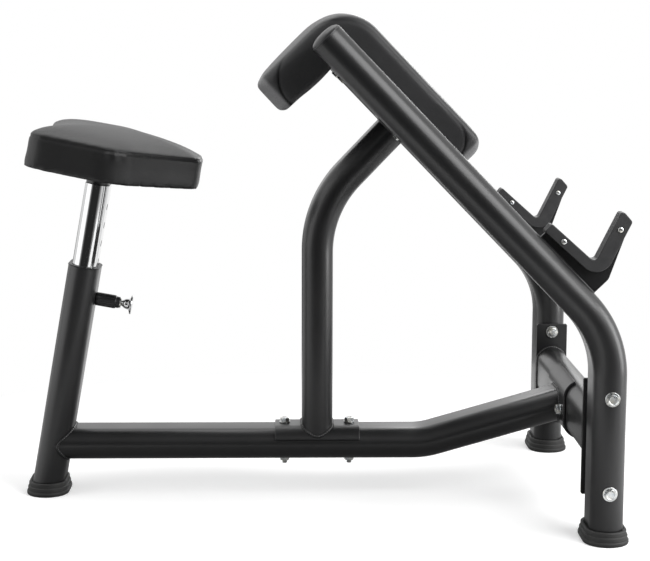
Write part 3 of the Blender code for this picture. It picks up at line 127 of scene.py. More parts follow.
def ramp(tree, factor, stops):
    """A colour ramp with one stop for each (place, grey or colour)."""
    made = node(tree, "ShaderNodeValToRGB", {"Fac": factor})
    band = made.color_ramp
    while len(band.elements) < len(stops):
        band.elements.new(0.5)
    for element, (place, value) in zip(band.elements, stops):
        element.position = place
        element.color = (*value, 1) if isinstance(value, tuple) else (value, value, value, 1)
    return made.outputs["Color"]


print("helpers for node trees are ready")

# %% [markdown]
# ## Walls of light and lamps
#
# A studio hangs white cloth behind the object and lets big soft lamps draw the highlights.
# The camera sees plain white behind the object. What shines sees the cloth: white behind
# and on both sides, with a dark opening on the side that the camera stands on.
# That opening keeps the middle of every round tube deep, as in the photograph, and a dark
# flag low behind on the left does the same for the chromed post. Six soft lamps are enough
# for the highlights, and each can be turned up or down alone.

# %% Light the studio
CLOTH_LIGHT = 1.05
OPENING_TURN = 0.04
OPENING_SIDES = 0.90
FLAG_ACROSS = 0.35
FLAG_HALF = 0.22
FLAG_EDGE = 0.352
FLAG_TOP = -0.03
FLAG_DARK = 0.15


def light_world():
    """White for the camera; cloth with its opening and flag for everything else."""
    world = bpy.data.worlds.new("studio")
    bpy.context.scene.world = world
    world.use_nodes = True
    tree = world.node_tree
    tree.nodes.clear()
    camera_ray = node(tree, "ShaderNodeLightPath").outputs["Is Camera Ray"]
    direction = node(tree, "ShaderNodeTexCoord").outputs["Generated"]
    across, depth, height = node(tree, "ShaderNodeSeparateXYZ", {0: direction}).outputs
    aside = math_node(tree, "ABSOLUTE", math_node(tree, "MULTIPLY_ADD", depth, -OPENING_TURN, across))
    place = math_node(tree, "MULTIPLY_ADD", aside, OPENING_SIDES, depth)
    place = math_node(tree, "MULTIPLY_ADD", place, 0.5, 0.5)
    shade = ramp(tree, place, [(0.30, 0.03), (0.44, 0.30), (0.56, 0.80), (0.80, 1.0)])
    behind = math_node(tree, "GREATER_THAN", depth, 0.0)
    low = math_node(tree, "LESS_THAN", height, FLAG_TOP)
    low_behind = math_node(tree, "MULTIPLY", behind, low)
    off_flag = math_node(tree, "ABSOLUTE", math_node(tree, "ADD", across, FLAG_ACROSS))
    fade = {0: off_flag, 1: FLAG_HALF, 2: FLAG_EDGE, 3: FLAG_DARK, 4: 1.0}
    flag = node(tree, "ShaderNodeMapRange", fade, clamp=True)
    flagged = node(tree, "ShaderNodeMix", {0: low_behind, 2: 1.0, 3: flag.outputs[0]}, data_type="FLOAT")
    strength = math_node(tree, "MULTIPLY", flagged.outputs[0], CLOTH_LIGHT)
    cloth = node(tree, "ShaderNodeBackground", {"Color": shade, "Strength": strength})
    white = node(tree, "ShaderNodeBackground", {"Color": (1, 1, 1, 1), "Strength": 1.0})
    last = node(tree, "ShaderNodeMixShader", {0: camera_ray, 1: cloth.outputs[0], 2: white.outputs[0]})
    node(tree, "ShaderNodeOutputWorld", {0: last.outputs[0]})


def hang_softbox(name, place, target, width, height, power):
    """A flat lamp in metres and watts, turned to face a target."""
    lamp = bpy.data.lights.new(name, "AREA")
    lamp.shape = "RECTANGLE"
    lamp.size = width
    lamp.size_y = height
    lamp.energy = power
    holder = bpy.data.objects.new(name, lamp)
    bpy.context.scene.collection.objects.link(holder)
    holder.location = place
    holder.rotation_euler = (Vector(target) - Vector(place)).to_track_quat("-Z", "Y").to_euler()


light_world()
hang_softbox("key_softbox", (1.9, -1.7, 2.1), (0.1, 0, 0.5), 1.9, 1.9, 66)
hang_softbox("top_softbox", (-0.3, 0.9, 2.8), (0, 0, 0.4), 2.2, 1.4, 18)
hang_softbox("side_softbox", (-2.4, -0.7, 1.1), (0, 0, 0.5), 2.0, 2.0, 11)
hang_softbox("fill_softbox", (-1.0, -3.0, 2.4), (0, 0, 0.5), 3.2, 2.4, 8)
hang_softbox("low_softbox", (2.6, -0.5, 0.7), (0.2, 0, 0.4), 1.0, 1.4, 28)
hang_softbox("back_softbox", (0.85, 2.2, 1.3), (0.3, 0, 0.3), 1.1, 0.7, 10)
print("softboxes", len(bpy.data.lights))

# %% [markdown]
# ## Floor
#
# A pale floor catches the bench's soft shadow. A plain sheet would show its edge against the white behind,
# so this one fades to white for the camera. For the bench itself the floor is painted dark below it, as
# painted shade, and pale further out, which keeps the undersides of the tubes deep.

# %% Lay the floor
FLOOR_HALF = 1.25
FLOOR_CLEAR = 1.15
FLOOR_SHADED = 0.55
FLOOR_OPEN = 0.935
FLOOR_LIFT = 0.30


def floor_finish():
    """Pale floor that fades to white for the camera; the bench sees it painted dark below, as painted
    shade, and pale further out.
    """
    material = bpy.data.materials.new("pale studio floor")
    material.use_nodes = True
    tree = material.node_tree
    tree.nodes.clear()
    where = node(tree, "ShaderNodeTexCoord").outputs["Object"]
    grain = node(tree, "ShaderNodeTexNoise", {"Vector": where, "Scale": 3.0, "Detail": 2.0})
    shade = ramp(tree, grain.outputs["Fac"], [(0.3, 0.83), (0.7, 0.86)])
    matt = node(tree, "ShaderNodeBsdfDiffuse", {"Color": shade, "Roughness": 0.5})
    distance = node(tree, "ShaderNodeVectorMath", {0: where}, operation="LENGTH").outputs["Value"]
    outer = node(tree, "ShaderNodeMapRange", {0: distance, 1: FLOOR_SHADED, 2: FLOOR_OPEN}, clamp=True)
    uneven = math_node(tree, "MULTIPLY_ADD", grain.outputs["Fac"], 0.1, outer.outputs[0])
    # Painted shade: what the bench sees of the floor is dark near it and pale further out.
    dull = ramp(tree, uneven, [(0.05, 0.26), (1.0, 0.85)])
    unlit = node(tree, "ShaderNodeBsdfDiffuse", {"Color": dull})
    lift = node(tree, "ShaderNodeEmission", {"Color": (1, 1, 1, 1), "Strength": FLOOR_LIFT})
    lifted = node(tree, "ShaderNodeAddShader", {0: matt.outputs[0], 1: lift.outputs[0]})
    white = node(tree, "ShaderNodeEmission", {"Color": (1, 1, 1, 1), "Strength": 1.0})
    far = node(tree, "ShaderNodeMapRange", {0: distance, 1: FLOOR_CLEAR * 0.5, 2: FLOOR_CLEAR}, clamp=True)
    fading = {0: far.outputs[0], 1: lifted.outputs[0], 2: white.outputs[0]}
    faded = node(tree, "ShaderNodeMixShader", fading)
    camera_ray = node(tree, "ShaderNodeLightPath").outputs["Is Camera Ray"]
    last = node(tree, "ShaderNodeMixShader", {0: camera_ray, 1: unlit.outputs[0], 2: faded.outputs[0]})
    node(tree, "ShaderNodeOutputMaterial", {0: last.outputs[0]})
    return material


def lay_floor():
    """One square under the bench, which belongs to the studio and not to the part."""
    mesh = bpy.data.meshes.new("studio_floor")
    corners = [(x * FLOOR_HALF, y * FLOOR_HALF, 0) for x, y in ((-1, -1), (1, -1), (1, 1), (-1, 1))]
    mesh.from_pydata(corners, [], [(0, 1, 2, 3)])
    floor = bpy.data.objects.new("studio_floor", mesh)
    mesh.materials.append(floor_finish())
    bpy.context.scene.collection.objects.link(floor)


lay_floor()
print("floor reaches", FLOOR_HALF, "m each way")

# %% [markdown]
# ## Parts of a finish
#
# Every finish here is one Principled shader whose inputs are moved by noises. Four helpers keep
# that short: a new material, a soft noise, a stack of bumps, and a noise that moves one input
# between two values. Picture textures would do too, but noises stay sharp at any distance.

# %% Helpers for finishes
def new_finish(name, **sockets):
    """A Principled material; a value that is the same all over is set on its own socket."""
    material = bpy.data.materials.new(name)
    material.use_nodes = True
    shader = material.node_tree.nodes["Principled BSDF"]
    for socket, value in sockets.items():
        shader.inputs[socket.replace("_", " ")].default_value = value
    where = node(material.node_tree, "ShaderNodeTexCoord").outputs["Object"]
    return material, material.node_tree, shader, where


def cloudy(tree, where, scale, detail=2.0, roughness=0.5):
    """Soft noise with this many patches to the metre."""
    inputs = {"Vector": where, "Scale": scale, "Detail": detail, "Roughness": roughness}
    return node(tree, "ShaderNodeTexNoise", inputs).outputs["Fac"]


def relief(tree, shader, layers):
    """Stack bumps of (height, strength, depth in metres) and join them to the shader."""
    below = None
    for height, strength, depth in layers:
        inputs = {"Height": height, "Strength": strength, "Distance": depth}
        if below:
            inputs["Normal"] = below
        below = node(tree, "ShaderNodeBump", inputs).outputs["Normal"]
    tree.links.new(below, shader.inputs["Normal"])


def spread(tree, shader, socket, factor, low, high, width=0.25):
    """Let a noise move one socket of the shader between two values."""
    tree.links.new(ramp(tree, factor, [(0.5 - width, low), (0.5 + width, high)]), shader.inputs[socket])


print("helpers for finishes are ready")

# %% [markdown]
# ## Powder coat
#
# The steel is sprayed with black powder and baked. Baked powder flows like orange peel:
# slow waves a few millimetres long, with a fine tooth on top.
# One noise makes the waves, a second the tooth, and both go through the bump input,
# because the real surface is only hundredths of a millimetre deep.

# %% Powder-coat the steel
def powder_coat():
    """Black powder with its orange peel."""
    coat = {"Coat_Weight": 0.12, "Coat_Roughness": 0.12}
    material, tree, shader, where = new_finish("black powder coat", IOR=1.52, **coat)
    patches = cloudy(tree, where, 9, 3)
    peel = cloudy(tree, where, 260, 1)
    tooth = cloudy(tree, where, 1300, 2)
    spread(tree, shader, "Base Color", patches, (0.0068, 0.0068, 0.0072), (0.0102, 0.0102, 0.0108))
    spread(tree, shader, "Roughness", patches, 0.33, 0.40)
    relief(tree, shader, [(peel, 0.10, 0.0006), (tooth, 0.12, 0.0001)])
    return material


FINISHES = {"powder_coat": powder_coat()}
print("finish", FINISHES["powder_coat"].name)

# %% [markdown]
# ## Vinyl
#
# Gym cushions are covered in leather-look vinyl. Its grain is embossed: small flat islands
# between fine creases. A Voronoi pattern gives islands, and bending its coordinates
# with noise takes away their regular look. The creases are a touch rougher and darker.
# The seat takes a copy of the pad's vinyl painted darker, as painted shade, and the strip round the pad's
# two ends is painted paler, as painted light thrown up from the floor. Values on the mesh's points say
# where that strip and the seam's painted shade are.

# %% Emboss the vinyl
END_WRAP_PAINTED_LIGHT = (0.17, 0.17, 0.173, 1)
# Painted shade for the sunk seam.
SEAM_PAINTED_SHADE = (0.002, 0.002, 0.002, 1)


def vinyl(name, low, high):
    """Embossed vinyl between two greys, with painted light on the end wraps and painted shade in the seam,
    where the mesh says so.
    """
    material, tree, shader, where = new_finish(name, IOR=1.45, Coat_Weight=0.04, Coat_Roughness=0.35)
    patches = cloudy(tree, where, 5, 3)
    bend = node(tree, "ShaderNodeTexNoise", {"Vector": where, "Scale": 220.0, "Detail": 2.0})
    moved = {0: bend.outputs["Color"], "Scale": 0.004}
    offset = node(tree, "ShaderNodeVectorMath", moved, operation="SCALE").outputs[0]
    bent = node(tree, "ShaderNodeVectorMath", {0: where, 1: offset}, operation="ADD").outputs[0]
    cells = node(tree, "ShaderNodeTexVoronoi", {"Vector": bent, "Scale": 520.0}, feature="DISTANCE_TO_EDGE")
    islands = ramp(tree, cells.outputs["Distance"], [(0.0, 0.0), (0.22, 1.0)])
    tint = ramp(tree, patches, [(0.3, (low, low, low * 1.05)), (0.7, (high, high, high * 1.05))])
    ends = node(tree, "ShaderNodeAttribute", attribute_name="end_wrap").outputs["Fac"]
    # The pad's end wraps are painted paler: painted light thrown up from the floor.
    rubbed = node(tree, "ShaderNodeMix", {0: ends, 6: tint, 7: END_WRAP_PAINTED_LIGHT}, data_type="RGBA")
    # The seam's groove gets painted shade: a near-black tint and a weaker reflection.
    seam_shade = node(tree, "ShaderNodeAttribute", attribute_name="seam_line").outputs["Fac"]
    seam_shaded = {0: seam_shade, 6: rubbed.outputs[2], 7: SEAM_PAINTED_SHADE}
    sunk = node(tree, "ShaderNodeMix", seam_shaded, data_type="RGBA")
    dulled = math_node(tree, "MULTIPLY_ADD", seam_shade, -0.45, 0.5)
    tree.links.new(dulled, shader.inputs["Specular IOR Level"])
    crease = ramp(tree, islands, [(0.0, 0.72), (1.0, 1.0)])
    creased = {0: 1.0, 6: sunk.outputs[2], 7: crease}
    mixed = node(tree, "ShaderNodeMix", creased, data_type="RGBA", blend_type="MULTIPLY")
    tree.links.new(mixed.outputs[2], shader.inputs["Base Color"])
    spread(tree, shader, "Roughness", islands, 0.52, 0.41, 0.5)
    soft = cloudy(tree, where, 70, 2)
    relief(tree, shader, [(soft, 0.12, 0.0012), (islands, 0.30, 0.00025)])
    return material


FINISHES["vinyl"] = vinyl("black pad vinyl", 0.022, 0.029)
# The seat's copy is painted darker than the pad's: painted shade on the same vinyl.
FINISHES["seat_vinyl_painted_shade"] = vinyl("black seat vinyl with painted shade", 0.0050, 0.0090)
print("finishes", FINISHES["vinyl"].name, "and", FINISHES["seat_vinyl_painted_shade"].name)

# %% [markdown]
# ## Rubber, plastics and lining
#
# Rubber feet are matt with a dusty bloom, moulded plastic has a satin spark-eroded grain,
# and the catch liners are a waxy sheet plastic that a bar scuffs along its length.
# The boards' backs are lined with pressed black cloth, so they get crossing fibres.

# %% Mix the dull blacks
def foot_rubber():
    """Matt rubber with a dusty bloom."""
    material, tree, shader, where = new_finish("matt black rubber", IOR=1.5)
    bloom = cloudy(tree, where, 40, 4)
    spread(tree, shader, "Base Color", bloom, (0.014, 0.014, 0.014), (0.026, 0.026, 0.025))
    spread(tree, shader, "Roughness", bloom, 0.55, 0.72)
    relief(tree, shader, [(cloudy(tree, where, 700, 3), 0.25, 0.0002)])
    return material


def satin_plastic():
    """Moulded plastic with a spark-eroded grain."""
    material, tree, shader, where = new_finish("moulded satin plastic", IOR=1.49)
    patches = cloudy(tree, where, 30, 2)
    spread(tree, shader, "Base Color", patches, (0.010, 0.010, 0.011), (0.016, 0.016, 0.017))
    spread(tree, shader, "Roughness", patches, 0.32, 0.42)
    relief(tree, shader, [(cloudy(tree, where, 1600, 2), 0.20, 0.00012)])
    return material


def liner_plastic():
    """Waxy plastic, scuffed along its length."""
    material, tree, shader, where = new_finish("waxy liner plastic", IOR=1.49)
    patches = cloudy(tree, where, 25, 3)
    stretched = node(tree, "ShaderNodeMapping", {"Vector": where, "Scale": (60, 900, 60)}).outputs[0]
    scuffs = cloudy(tree, stretched, 1.0, 3)
    spread(tree, shader, "Base Color", scuffs, (0.020, 0.020, 0.021), (0.030, 0.030, 0.031), 0.2)
    spread(tree, shader, "Roughness", patches, 0.50, 0.62)
    relief(tree, shader, [(scuffs, 0.12, 0.0002), (cloudy(tree, where, 900, 2), 0.15, 0.0001)])
    return material


def lined_board():
    """Board behind pressed black cloth with crossing fibres."""
    material, tree, shader, where = new_finish("board lined with black cloth", IOR=1.45, Sheen_Weight=0.1)
    weave = {"Vector": where, "Scale": 160.0, "Distortion": 3.0, "Detail": 2.0}
    warp = node(tree, "ShaderNodeTexWave", weave)
    fibres = cloudy(tree, where, 900, 4, 0.7)
    both = math_node(tree, "MULTIPLY", warp.outputs["Fac"], fibres)
    spread(tree, shader, "Base Color", both, (0.012, 0.012, 0.012), (0.030, 0.030, 0.030))
    spread(tree, shader, "Roughness", fibres, 0.78, 0.92)
    relief(tree, shader, [(both, 0.35, 0.0003)])
    return material


FINISHES["rubber"] = foot_rubber()
FINISHES["moulded_black"] = satin_plastic()
FINISHES["liner_black"] = liner_plastic()
FINISHES["plywood"] = lined_board()
print("finishes so far", len(FINISHES))

# %% [markdown]
# ## Chrome and zinc
#
# Chrome is almost a mirror, so its detail is what bends a mirror: slow ripples from polishing
# and fine rub marks along the post. Zinc plate is duller and clouded with straw and blue.

# %% Plate the bright metal
def bright_chrome():
    """Chrome with polishing ripples and fine rub marks."""
    material, tree, shader, where = new_finish("bright chrome", Metallic=1.0)
    streaks = node(tree, "ShaderNodeMapping", {"Vector": where, "Scale": (900, 900, 12)}).outputs[0]
    rubbed = cloudy(tree, streaks, 1.0, 3)
    spread(tree, shader, "Base Color", cloudy(tree, where, 14), (0.56, 0.565, 0.57), (0.62, 0.62, 0.62))
    spread(tree, shader, "Roughness", rubbed, 0.045, 0.10)
    relief(tree, shader, [(cloudy(tree, where, 35, 1), 0.05, 0.0008), (rubbed, 0.03, 0.00005)])
    return material


def zinc_plate():
    """Zinc clouded with straw and blue."""
    material, tree, shader, where = new_finish("clouded zinc plate", Metallic=1.0)
    clouds = cloudy(tree, where, 120, 3)
    plated = [(0.32, (0.50, 0.53, 0.56)), (0.5, (0.66, 0.67, 0.66)), (0.68, (0.70, 0.68, 0.62))]
    tint = ramp(tree, clouds, plated)
    tree.links.new(tint, shader.inputs["Base Color"])
    spread(tree, shader, "Roughness", clouds, 0.22, 0.34)
    relief(tree, shader, [(cloudy(tree, where, 900, 2), 0.15, 0.0001)])
    return material


FINISHES["chrome"] = bright_chrome()
FINISHES["zinc"] = zinc_plate()
print("finishes", ", ".join(FINISHES))

# %% [markdown]
# ## Sections and runs
#
# Nearly every piece here is a section carried along a line: a flat oval along a bent run,
# a circle round a bolt's axis, a plate's outline from one face to the other.
# So one helper skins a row of rings, and small helpers make the rings.
# Building rings by hand keeps every edge where it belongs, which a Boolean would not.

# %% Helpers for ovals, circles and lines
OVAL_STEPS = 24
BEND_STEPS = 28
SHARP = math.radians(38)


def oval(short, long, steps=OVAL_STEPS):
    """A flat oval: u across the short side, v along the long side."""
    radius = short / 2
    flat = (long - short) / 2
    points = []
    for side in (1, -1):
        for step in range(steps + 1):
            angle = math.pi * step / steps
            points.append((side * radius * math.cos(angle), side * (flat + radius * math.sin(angle))))
    return points


def circle(radius, height, sides=48):
    """A ring about Z."""
    turns = [2 * math.pi * i / sides for i in range(sides)]
    return [(radius * math.cos(a), radius * math.sin(a), height) for a in turns]


def turned(vector, angle):
    """A vector in a plane, turned counterclockwise."""
    c = math.cos(angle)
    s = math.sin(angle)
    return Vector((vector.x * c - vector.y * s, vector.x * s + vector.y * c))


def crossing(point_a, along_a, point_b, along_b):
    """Where two lines in a plane meet."""
    cross = along_a[0] * along_b[1] - along_a[1] * along_b[0]
    gap = (point_b[0] - point_a[0], point_b[1] - point_a[1])
    reach = (gap[0] * along_b[1] - gap[1] * along_b[0]) / cross
    return Vector((point_a[0] + along_a[0] * reach, point_a[1] + along_a[1] * reach))


print("a flat oval has", len(oval(2, 3)), "points")

# %% [markdown]
# ## Round corners
#
# A plate's or cushion's outline is drawn as a sharp polygon first, which is easy to measure.
# Every corner is then replaced by an arc, and a side may be drawn in between two of them.
# The seat's outline is also moved inwards side by side, so that its bands keep an even width.

# %% Helpers for round corners
def filleted(corners, radii, steps=8, draws=None, middles=0):
    """A polygon with round corners. Draws pull its sides inwards between the corners."""
    count = len(corners)
    draws = draws or [0.0] * count
    arcs = []
    for i in range(count):
        here = Vector(corners[i])
        back = (Vector(corners[i - 1]) - here).normalized()
        ahead = (Vector(corners[(i + 1) % count]) - here).normalized()
        half = back.angle(ahead) / 2
        centre = here + (back + ahead).normalized() * (radii[i] / math.sin(half))
        first = here + back * (radii[i] / math.tan(half)) - centre
        turn = first.angle_signed(here + ahead * (radii[i] / math.tan(half)) - centre)
        arcs.append([centre + turned(first, -turn * step / steps) for step in range(steps + 1)])
    points = []
    for i in range(count):
        points += arcs[i]
        start = arcs[i][-1]
        end = arcs[(i + 1) % count][0]
        along = (end - start).normalized()
        inwards = Vector((-along.y, along.x))
        for step in range(1, middles + 1):
            share = step / (middles + 1)
            points.append(start.lerp(end, share) + inwards * draws[i] * math.sin(math.pi * share))
    return [tuple(point) for point in points]


def inset(corners, distance):
    """Move each side of a counterclockwise polygon inwards."""
    lines = []
    for i, corner in enumerate(corners):
        a = Vector(corner)
        along = (Vector(corners[(i + 1) % len(corners)]) - a).normalized()
        lines.append((a + Vector((-along.y, along.x)) * distance, along))
    return [crossing(*lines[i - 1], *lines[i]) for i in range(len(corners))]


print("a triangle with round corners has", len(filleted([(0, 0), (1, 0), (1, 1)], [0.1] * 3)), "points")

# %% [markdown]
# ## Skins over rings
#
# A ring is only a row of points. The skin joins neighbouring rings with four-sided faces and
# caps the ends, and shading stays sharp only where faces meet steeply. Each piece is then put
# on its body, gets its finish, and says which CAD nodes it stands for.

# %% Helpers that make meshes and show them
def skin(name, rings, joined=False):
    """A mesh over a row of rings: capped at both ends, or joined end to end."""
    work = bmesh.new()
    rows = [[work.verts.new(point) for point in ring] for ring in rings]
    pairs = list(zip(rows, rows[1:]))
    if joined:
        pairs.append((rows[-1], rows[0]))
    else:
        work.faces.new(rows[0])
        work.faces.new(rows[-1])
    for low, high in pairs:
        for i in range(len(low)):
            j = (i + 1) % len(low)
            work.faces.new((low[i], low[j], high[j], high[i]))
    bmesh.ops.recalc_face_normals(work, faces=work.faces)
    mesh = bpy.data.meshes.new(name)
    work.to_mesh(mesh)
    work.free()
    mesh.shade_smooth()
    mesh.set_sharp_from_angle(angle=SHARP)
    return mesh


def show(name, mesh, finish, body="frame", nodes=(), eased=0.0, place=None):
    """Put a piece on its body, in its finish, standing for the CAD nodes named."""
    made = bpy.data.objects.new(name, mesh)
    bpy.context.scene.collection.objects.link(made)
    if place:
        mesh.transform(place)
    if not mesh.materials:
        mesh.materials.append(FINISHES[finish])
    if eased:
        round_edges = made.modifiers.new("eased edges", "BEVEL")
        round_edges.width = eased
        round_edges.segments = 3
        round_edges.limit_method = "ANGLE"
        round_edges.angle_limit = SHARP
        round_edges.harden_normals = True
    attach(made, body)
    if nodes:
        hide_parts(*nodes)
    return made


def lathe(profile, sides=48):
    """Rings about Z from (radius, height) pairs."""
    return [circle(radius, height, sides) for radius, height in profile]


def axis_place(point, direction):
    """A placing that stands local Z along a direction at a point."""
    turn = Vector(direction).to_track_quat("Z", "Y").to_matrix().to_4x4()
    return Matrix.Translation(Vector(point)) @ turn


print("a turned ring has", len(circle(1, 0)), "points")

# %% [markdown]
# ## Two tilted frames of reference
#
# The legs lean back over the bench and the pad lies on that slope; the seat's sleeve leans too.
# Working in world numbers there would hide the simple sizes.
# So places on the slope are given as t, up the slope, and n, square to it,
# and places on the sleeve as s, out from its axis, and a, along it.

# %% Set the plan of the bench
GAP = 0.0003
TUBE_SHORT = 0.060
TUBE_LONG = 0.105
TUBE_HALF = TUBE_SHORT / 2
TUBE_FLAT = (TUBE_LONG - TUBE_SHORT) / 2
TUBE = (TUBE_SHORT, TUBE_LONG)
SECTION = oval(TUBE_SHORT, TUBE_LONG)
LEG_X = 0.5166
LEG_Y = 0.338
KNEE_Z = 0.3716
SLOPE = math.radians(45.9)
KNEE_RADIUS = 0.180
SLANT_LENGTH = 0.713
SLEEVE_LEAN = math.radians(10.24)
SLEEVE_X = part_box("sleeve_tube")[0][0] + TUBE_HALF / math.cos(SLEEVE_LEAN)
SLEEVE_X -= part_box("sleeve_tube")[0][2] * math.tan(SLEEVE_LEAN)
SLEEVE_LENGTH = 0.455
PAD_UNDER = -0.004
SIDES = (("right", -1), ("left", 1))


def on_slope(t, n, y=0.0):
    """The world point at t and n on the slope."""
    x = LEG_X - t * math.cos(SLOPE) + n * math.sin(SLOPE)
    return Vector((x, y, KNEE_Z + t * math.sin(SLOPE) + n * math.cos(SLOPE)))


def on_sleeve(s, a, y=0.0):
    """The world point at s and a on the sleeve."""
    x = SLEEVE_X + s * math.cos(SLEEVE_LEAN) + a * math.sin(SLEEVE_LEAN)
    return Vector((x, y, a * math.cos(SLEEVE_LEAN) - s * math.sin(SLEEVE_LEAN)))


UP_SLOPE = on_slope(1, 0) - on_slope(0, 0)
OFF_SLOPE = on_slope(0, 1) - on_slope(0, 0)
UP_SLEEVE = on_sleeve(0, 1) - on_sleeve(0, 0)
OUT_SLEEVE = on_sleeve(1, 0) - on_sleeve(0, 0)
print("sleeve starts at x", round(SLEEVE_X, 4))

# %% [markdown]
# ## Bent legs
#
# Each leg is one length of flat oval tube, upright to the knee and then bent back over a former
# by 44 degrees. A curve object with a bevel would do, but its section twists in a bend.
# Rings set square to the run keep the long side of the oval across the bench all the way.

# %% Bend the leg tubes
CAP_FLOOR = 0.006


def bent_run(start, knee, end, radius):
    """Points and directions in the XZ plane along a straight, a bend and a second straight."""
    start, knee, end = Vector(start), Vector(knee), Vector(end)
    first = (knee - start).normalized()
    turn = first.angle_signed((end - knee).normalized())
    side = math.copysign(1, turn)
    inwards = Vector((side * first.y, -side * first.x))
    centre = knee - first * radius * math.tan(abs(turn) / 2) + inwards * radius
    run = [(start, first)]
    for step in range(BEND_STEPS + 1):
        angle = -turn * step / BEND_STEPS
        run.append((centre - turned(inwards, angle) * radius, turned(first, angle)))
    run.append((end, (end - knee).normalized()))
    return run


def oval_rings(run, y=0.0, last_face=None):
    """Rings of flat oval tube along a run. A face direction tips the cut at its end."""
    rings = []
    for i, (point, along) in enumerate(run):
        across = Vector((along.y, -along.x))
        if last_face and i == len(run) - 1:
            across = last_face / last_face.dot(across)
        rings.append([(point.x + across.x * u, y + v, point.y + across.y * u) for u, v in SECTION])
    return rings


def flat(point):
    """A world point as X and Z alone."""
    return Vector((point.x, point.z))


leg_run = bent_run((LEG_X, CAP_FLOOR), (LEG_X, KNEE_Z), flat(on_slope(SLANT_LENGTH, 0)), KNEE_RADIUS)
for side, sign in SIDES:
    mesh = skin(f"{side}_leg", oval_rings(leg_run, sign * LEG_Y))
    show(f"{side}_leg", mesh, "powder_coat", nodes=[f"{side}_leg_tube"])
print("leg run has", len(leg_run), "rings")

# %% [markdown]
# ## End plugs
#
# A plastic plug closes the top of each leg: a thin rim on the tube's end and a shallow dome.
# The dome is a stack of shrinking ovals whose heights follow a quarter circle.

# %% Plug the slanted tubes
PLUG_RIM = 0.0028
PLUG_DOME = 0.010
PLUG_CLOSING = 0.86
PLUG_GROOVE = 0.0006
PLUG_CHAMFER = 0.0008

for side, sign in SIDES:
    start = SLANT_LENGTH + GAP
    profile = [(0.0, start), (0.0, start + PLUG_RIM - PLUG_GROOVE), (PLUG_CHAMFER, start + PLUG_RIM)]
    for step in range(1, 13):
        share = math.sin(math.pi / 2 * step / 12.5)
        drawn = TUBE_HALF * PLUG_CLOSING * (1 - math.sqrt(1 - share**2))
        profile.append((PLUG_CHAMFER + drawn, start + PLUG_RIM + PLUG_DOME * share))
    rings = []
    for drawn, t in profile:
        section = oval(TUBE_SHORT - 2 * drawn, TUBE_LONG - 2 * drawn)
        rings.append([tuple(on_slope(t, -u, sign * LEG_Y + v)) for u, v in section])
    show(f"{side}_plug", skin(f"{side}_plug", rings), "moulded_black", nodes=[f"{side}_end_plug"])
print("plugs stand", round((PLUG_RIM + PLUG_DOME) * 1000, 1), "mm proud")

# %% [markdown]
# ## Rubber feet
#
# Each foot is a thick rubber cup pushed over the tube, moulded in three tiers that step in
# towards the top. The mould rounds every tier, so the profile is a small curve per tier.
# The top face dips towards the tube, where the rubber hugs it.

# %% Mould the feet
CAP_LIP = 0.011
CAP_HEIGHT = 0.026
CAP_STEP = 0.0022
TIER_ROUND = 0.0028
TIER_LEDGE = 0.0006
TIERS = 3


def tier_profile():
    """(drawn in, height) pairs up the outside of a foot, then in over its top to the tube."""
    tier = CAP_HEIGHT / TIERS
    profile = []
    for i in range(TIERS):
        for step in range(5):
            angle = math.pi / 2 * step / 4
            rise = TIER_ROUND * (1 - math.cos(angle)) if i == 0 else TIER_LEDGE * step / 4
            drawn = TIER_ROUND * (1 - math.sin(angle)) if i == 0 else 0.0
            profile.append((i * CAP_STEP + drawn, i * tier + rise))
        for step in range(5):
            angle = math.pi / 2 * step / 4
            drawn = TIER_ROUND * (1 - math.cos(angle)) * 0.8
            profile.append((i * CAP_STEP + drawn, (i + 1) * tier - TIER_ROUND * (1 - math.sin(angle))))
    profile.append((CAP_LIP - 0.0026, CAP_HEIGHT - 0.0002))
    profile.append((CAP_LIP - 0.0003, CAP_HEIGHT - 0.0022))
    return profile


def foot(name, x, y):
    """A rubber cup round the end of a tube."""
    rings = []
    for drawn, height in tier_profile():
        grown = 2 * (CAP_LIP - drawn)
        section = oval(TUBE_SHORT + grown, TUBE_LONG + grown)
        rings.append([(x + u, y + v, height) for u, v in section])
    show(name, skin(name, rings), "rubber", nodes=[f"{name}_cap"])


for side, sign in SIDES:
    foot(f"{side}_foot", LEG_X, sign * LEG_Y)
foot("rear_foot", -LEG_X, 0.0)
print("foot profile has", len(tier_profile()), "rings")

# %% [markdown]
# ## Cross tube, bracket plates and saddles
#
# A straight oval tube joins the legs through a plate at each end, which the leg bolts clamp.
# The beam is welded to a saddle: a plate rolled to lie over the tube and bolted to it.
# The saddle's outline is two arcs about the tube's round ends, carried along the tube.

# %% Set the crossing pieces
CROSS_Z = 0.179
CROSS_END_Y = 0.2789
BRACKET_Y = (0.2792, 0.2852)
BRACKET_WIDTH = 0.0645
BRACKET_Z = (0.066, 0.281)
BRACKET_CORNER = 0.004
SADDLE_THICK = 0.005
SADDLE_INNER = TUBE_HALF + GAP
SADDLE_OUTER = SADDLE_INNER + SADDLE_THICK
SADDLE_FLAP = math.radians(68.3)
SADDLE_STEPS = 20
BEAM_SADDLE_HALF = 0.092
POST_SADDLE_HALF = 0.0824
BEAM_Z = 0.0989
POST_X = 0.0106


def saddle_outline():
    """A plate wrapped over the flat and both ends of the tube: a along the flat, b out from it."""
    angles = [SADDLE_FLAP * step / SADDLE_STEPS for step in range(SADDLE_STEPS + 1)]
    rows = []
    for radius, order in ((SADDLE_OUTER, (-1, 1)), (SADDLE_INNER, (1, -1))):
        for turn, side in zip((angles[::-1], angles), order):
            rows += [(side * (TUBE_FLAT + radius * math.sin(a)), radius * math.cos(a)) for a in turn]
    return rows


def round_height(distance, radius=SADDLE_OUTER):
    """How far a wall about the tube's round sides stands out, at a distance along its long side."""
    beyond = max(0.0, abs(distance) - TUBE_FLAT)
    return math.sqrt(max(radius**2 - beyond**2, 0.0))


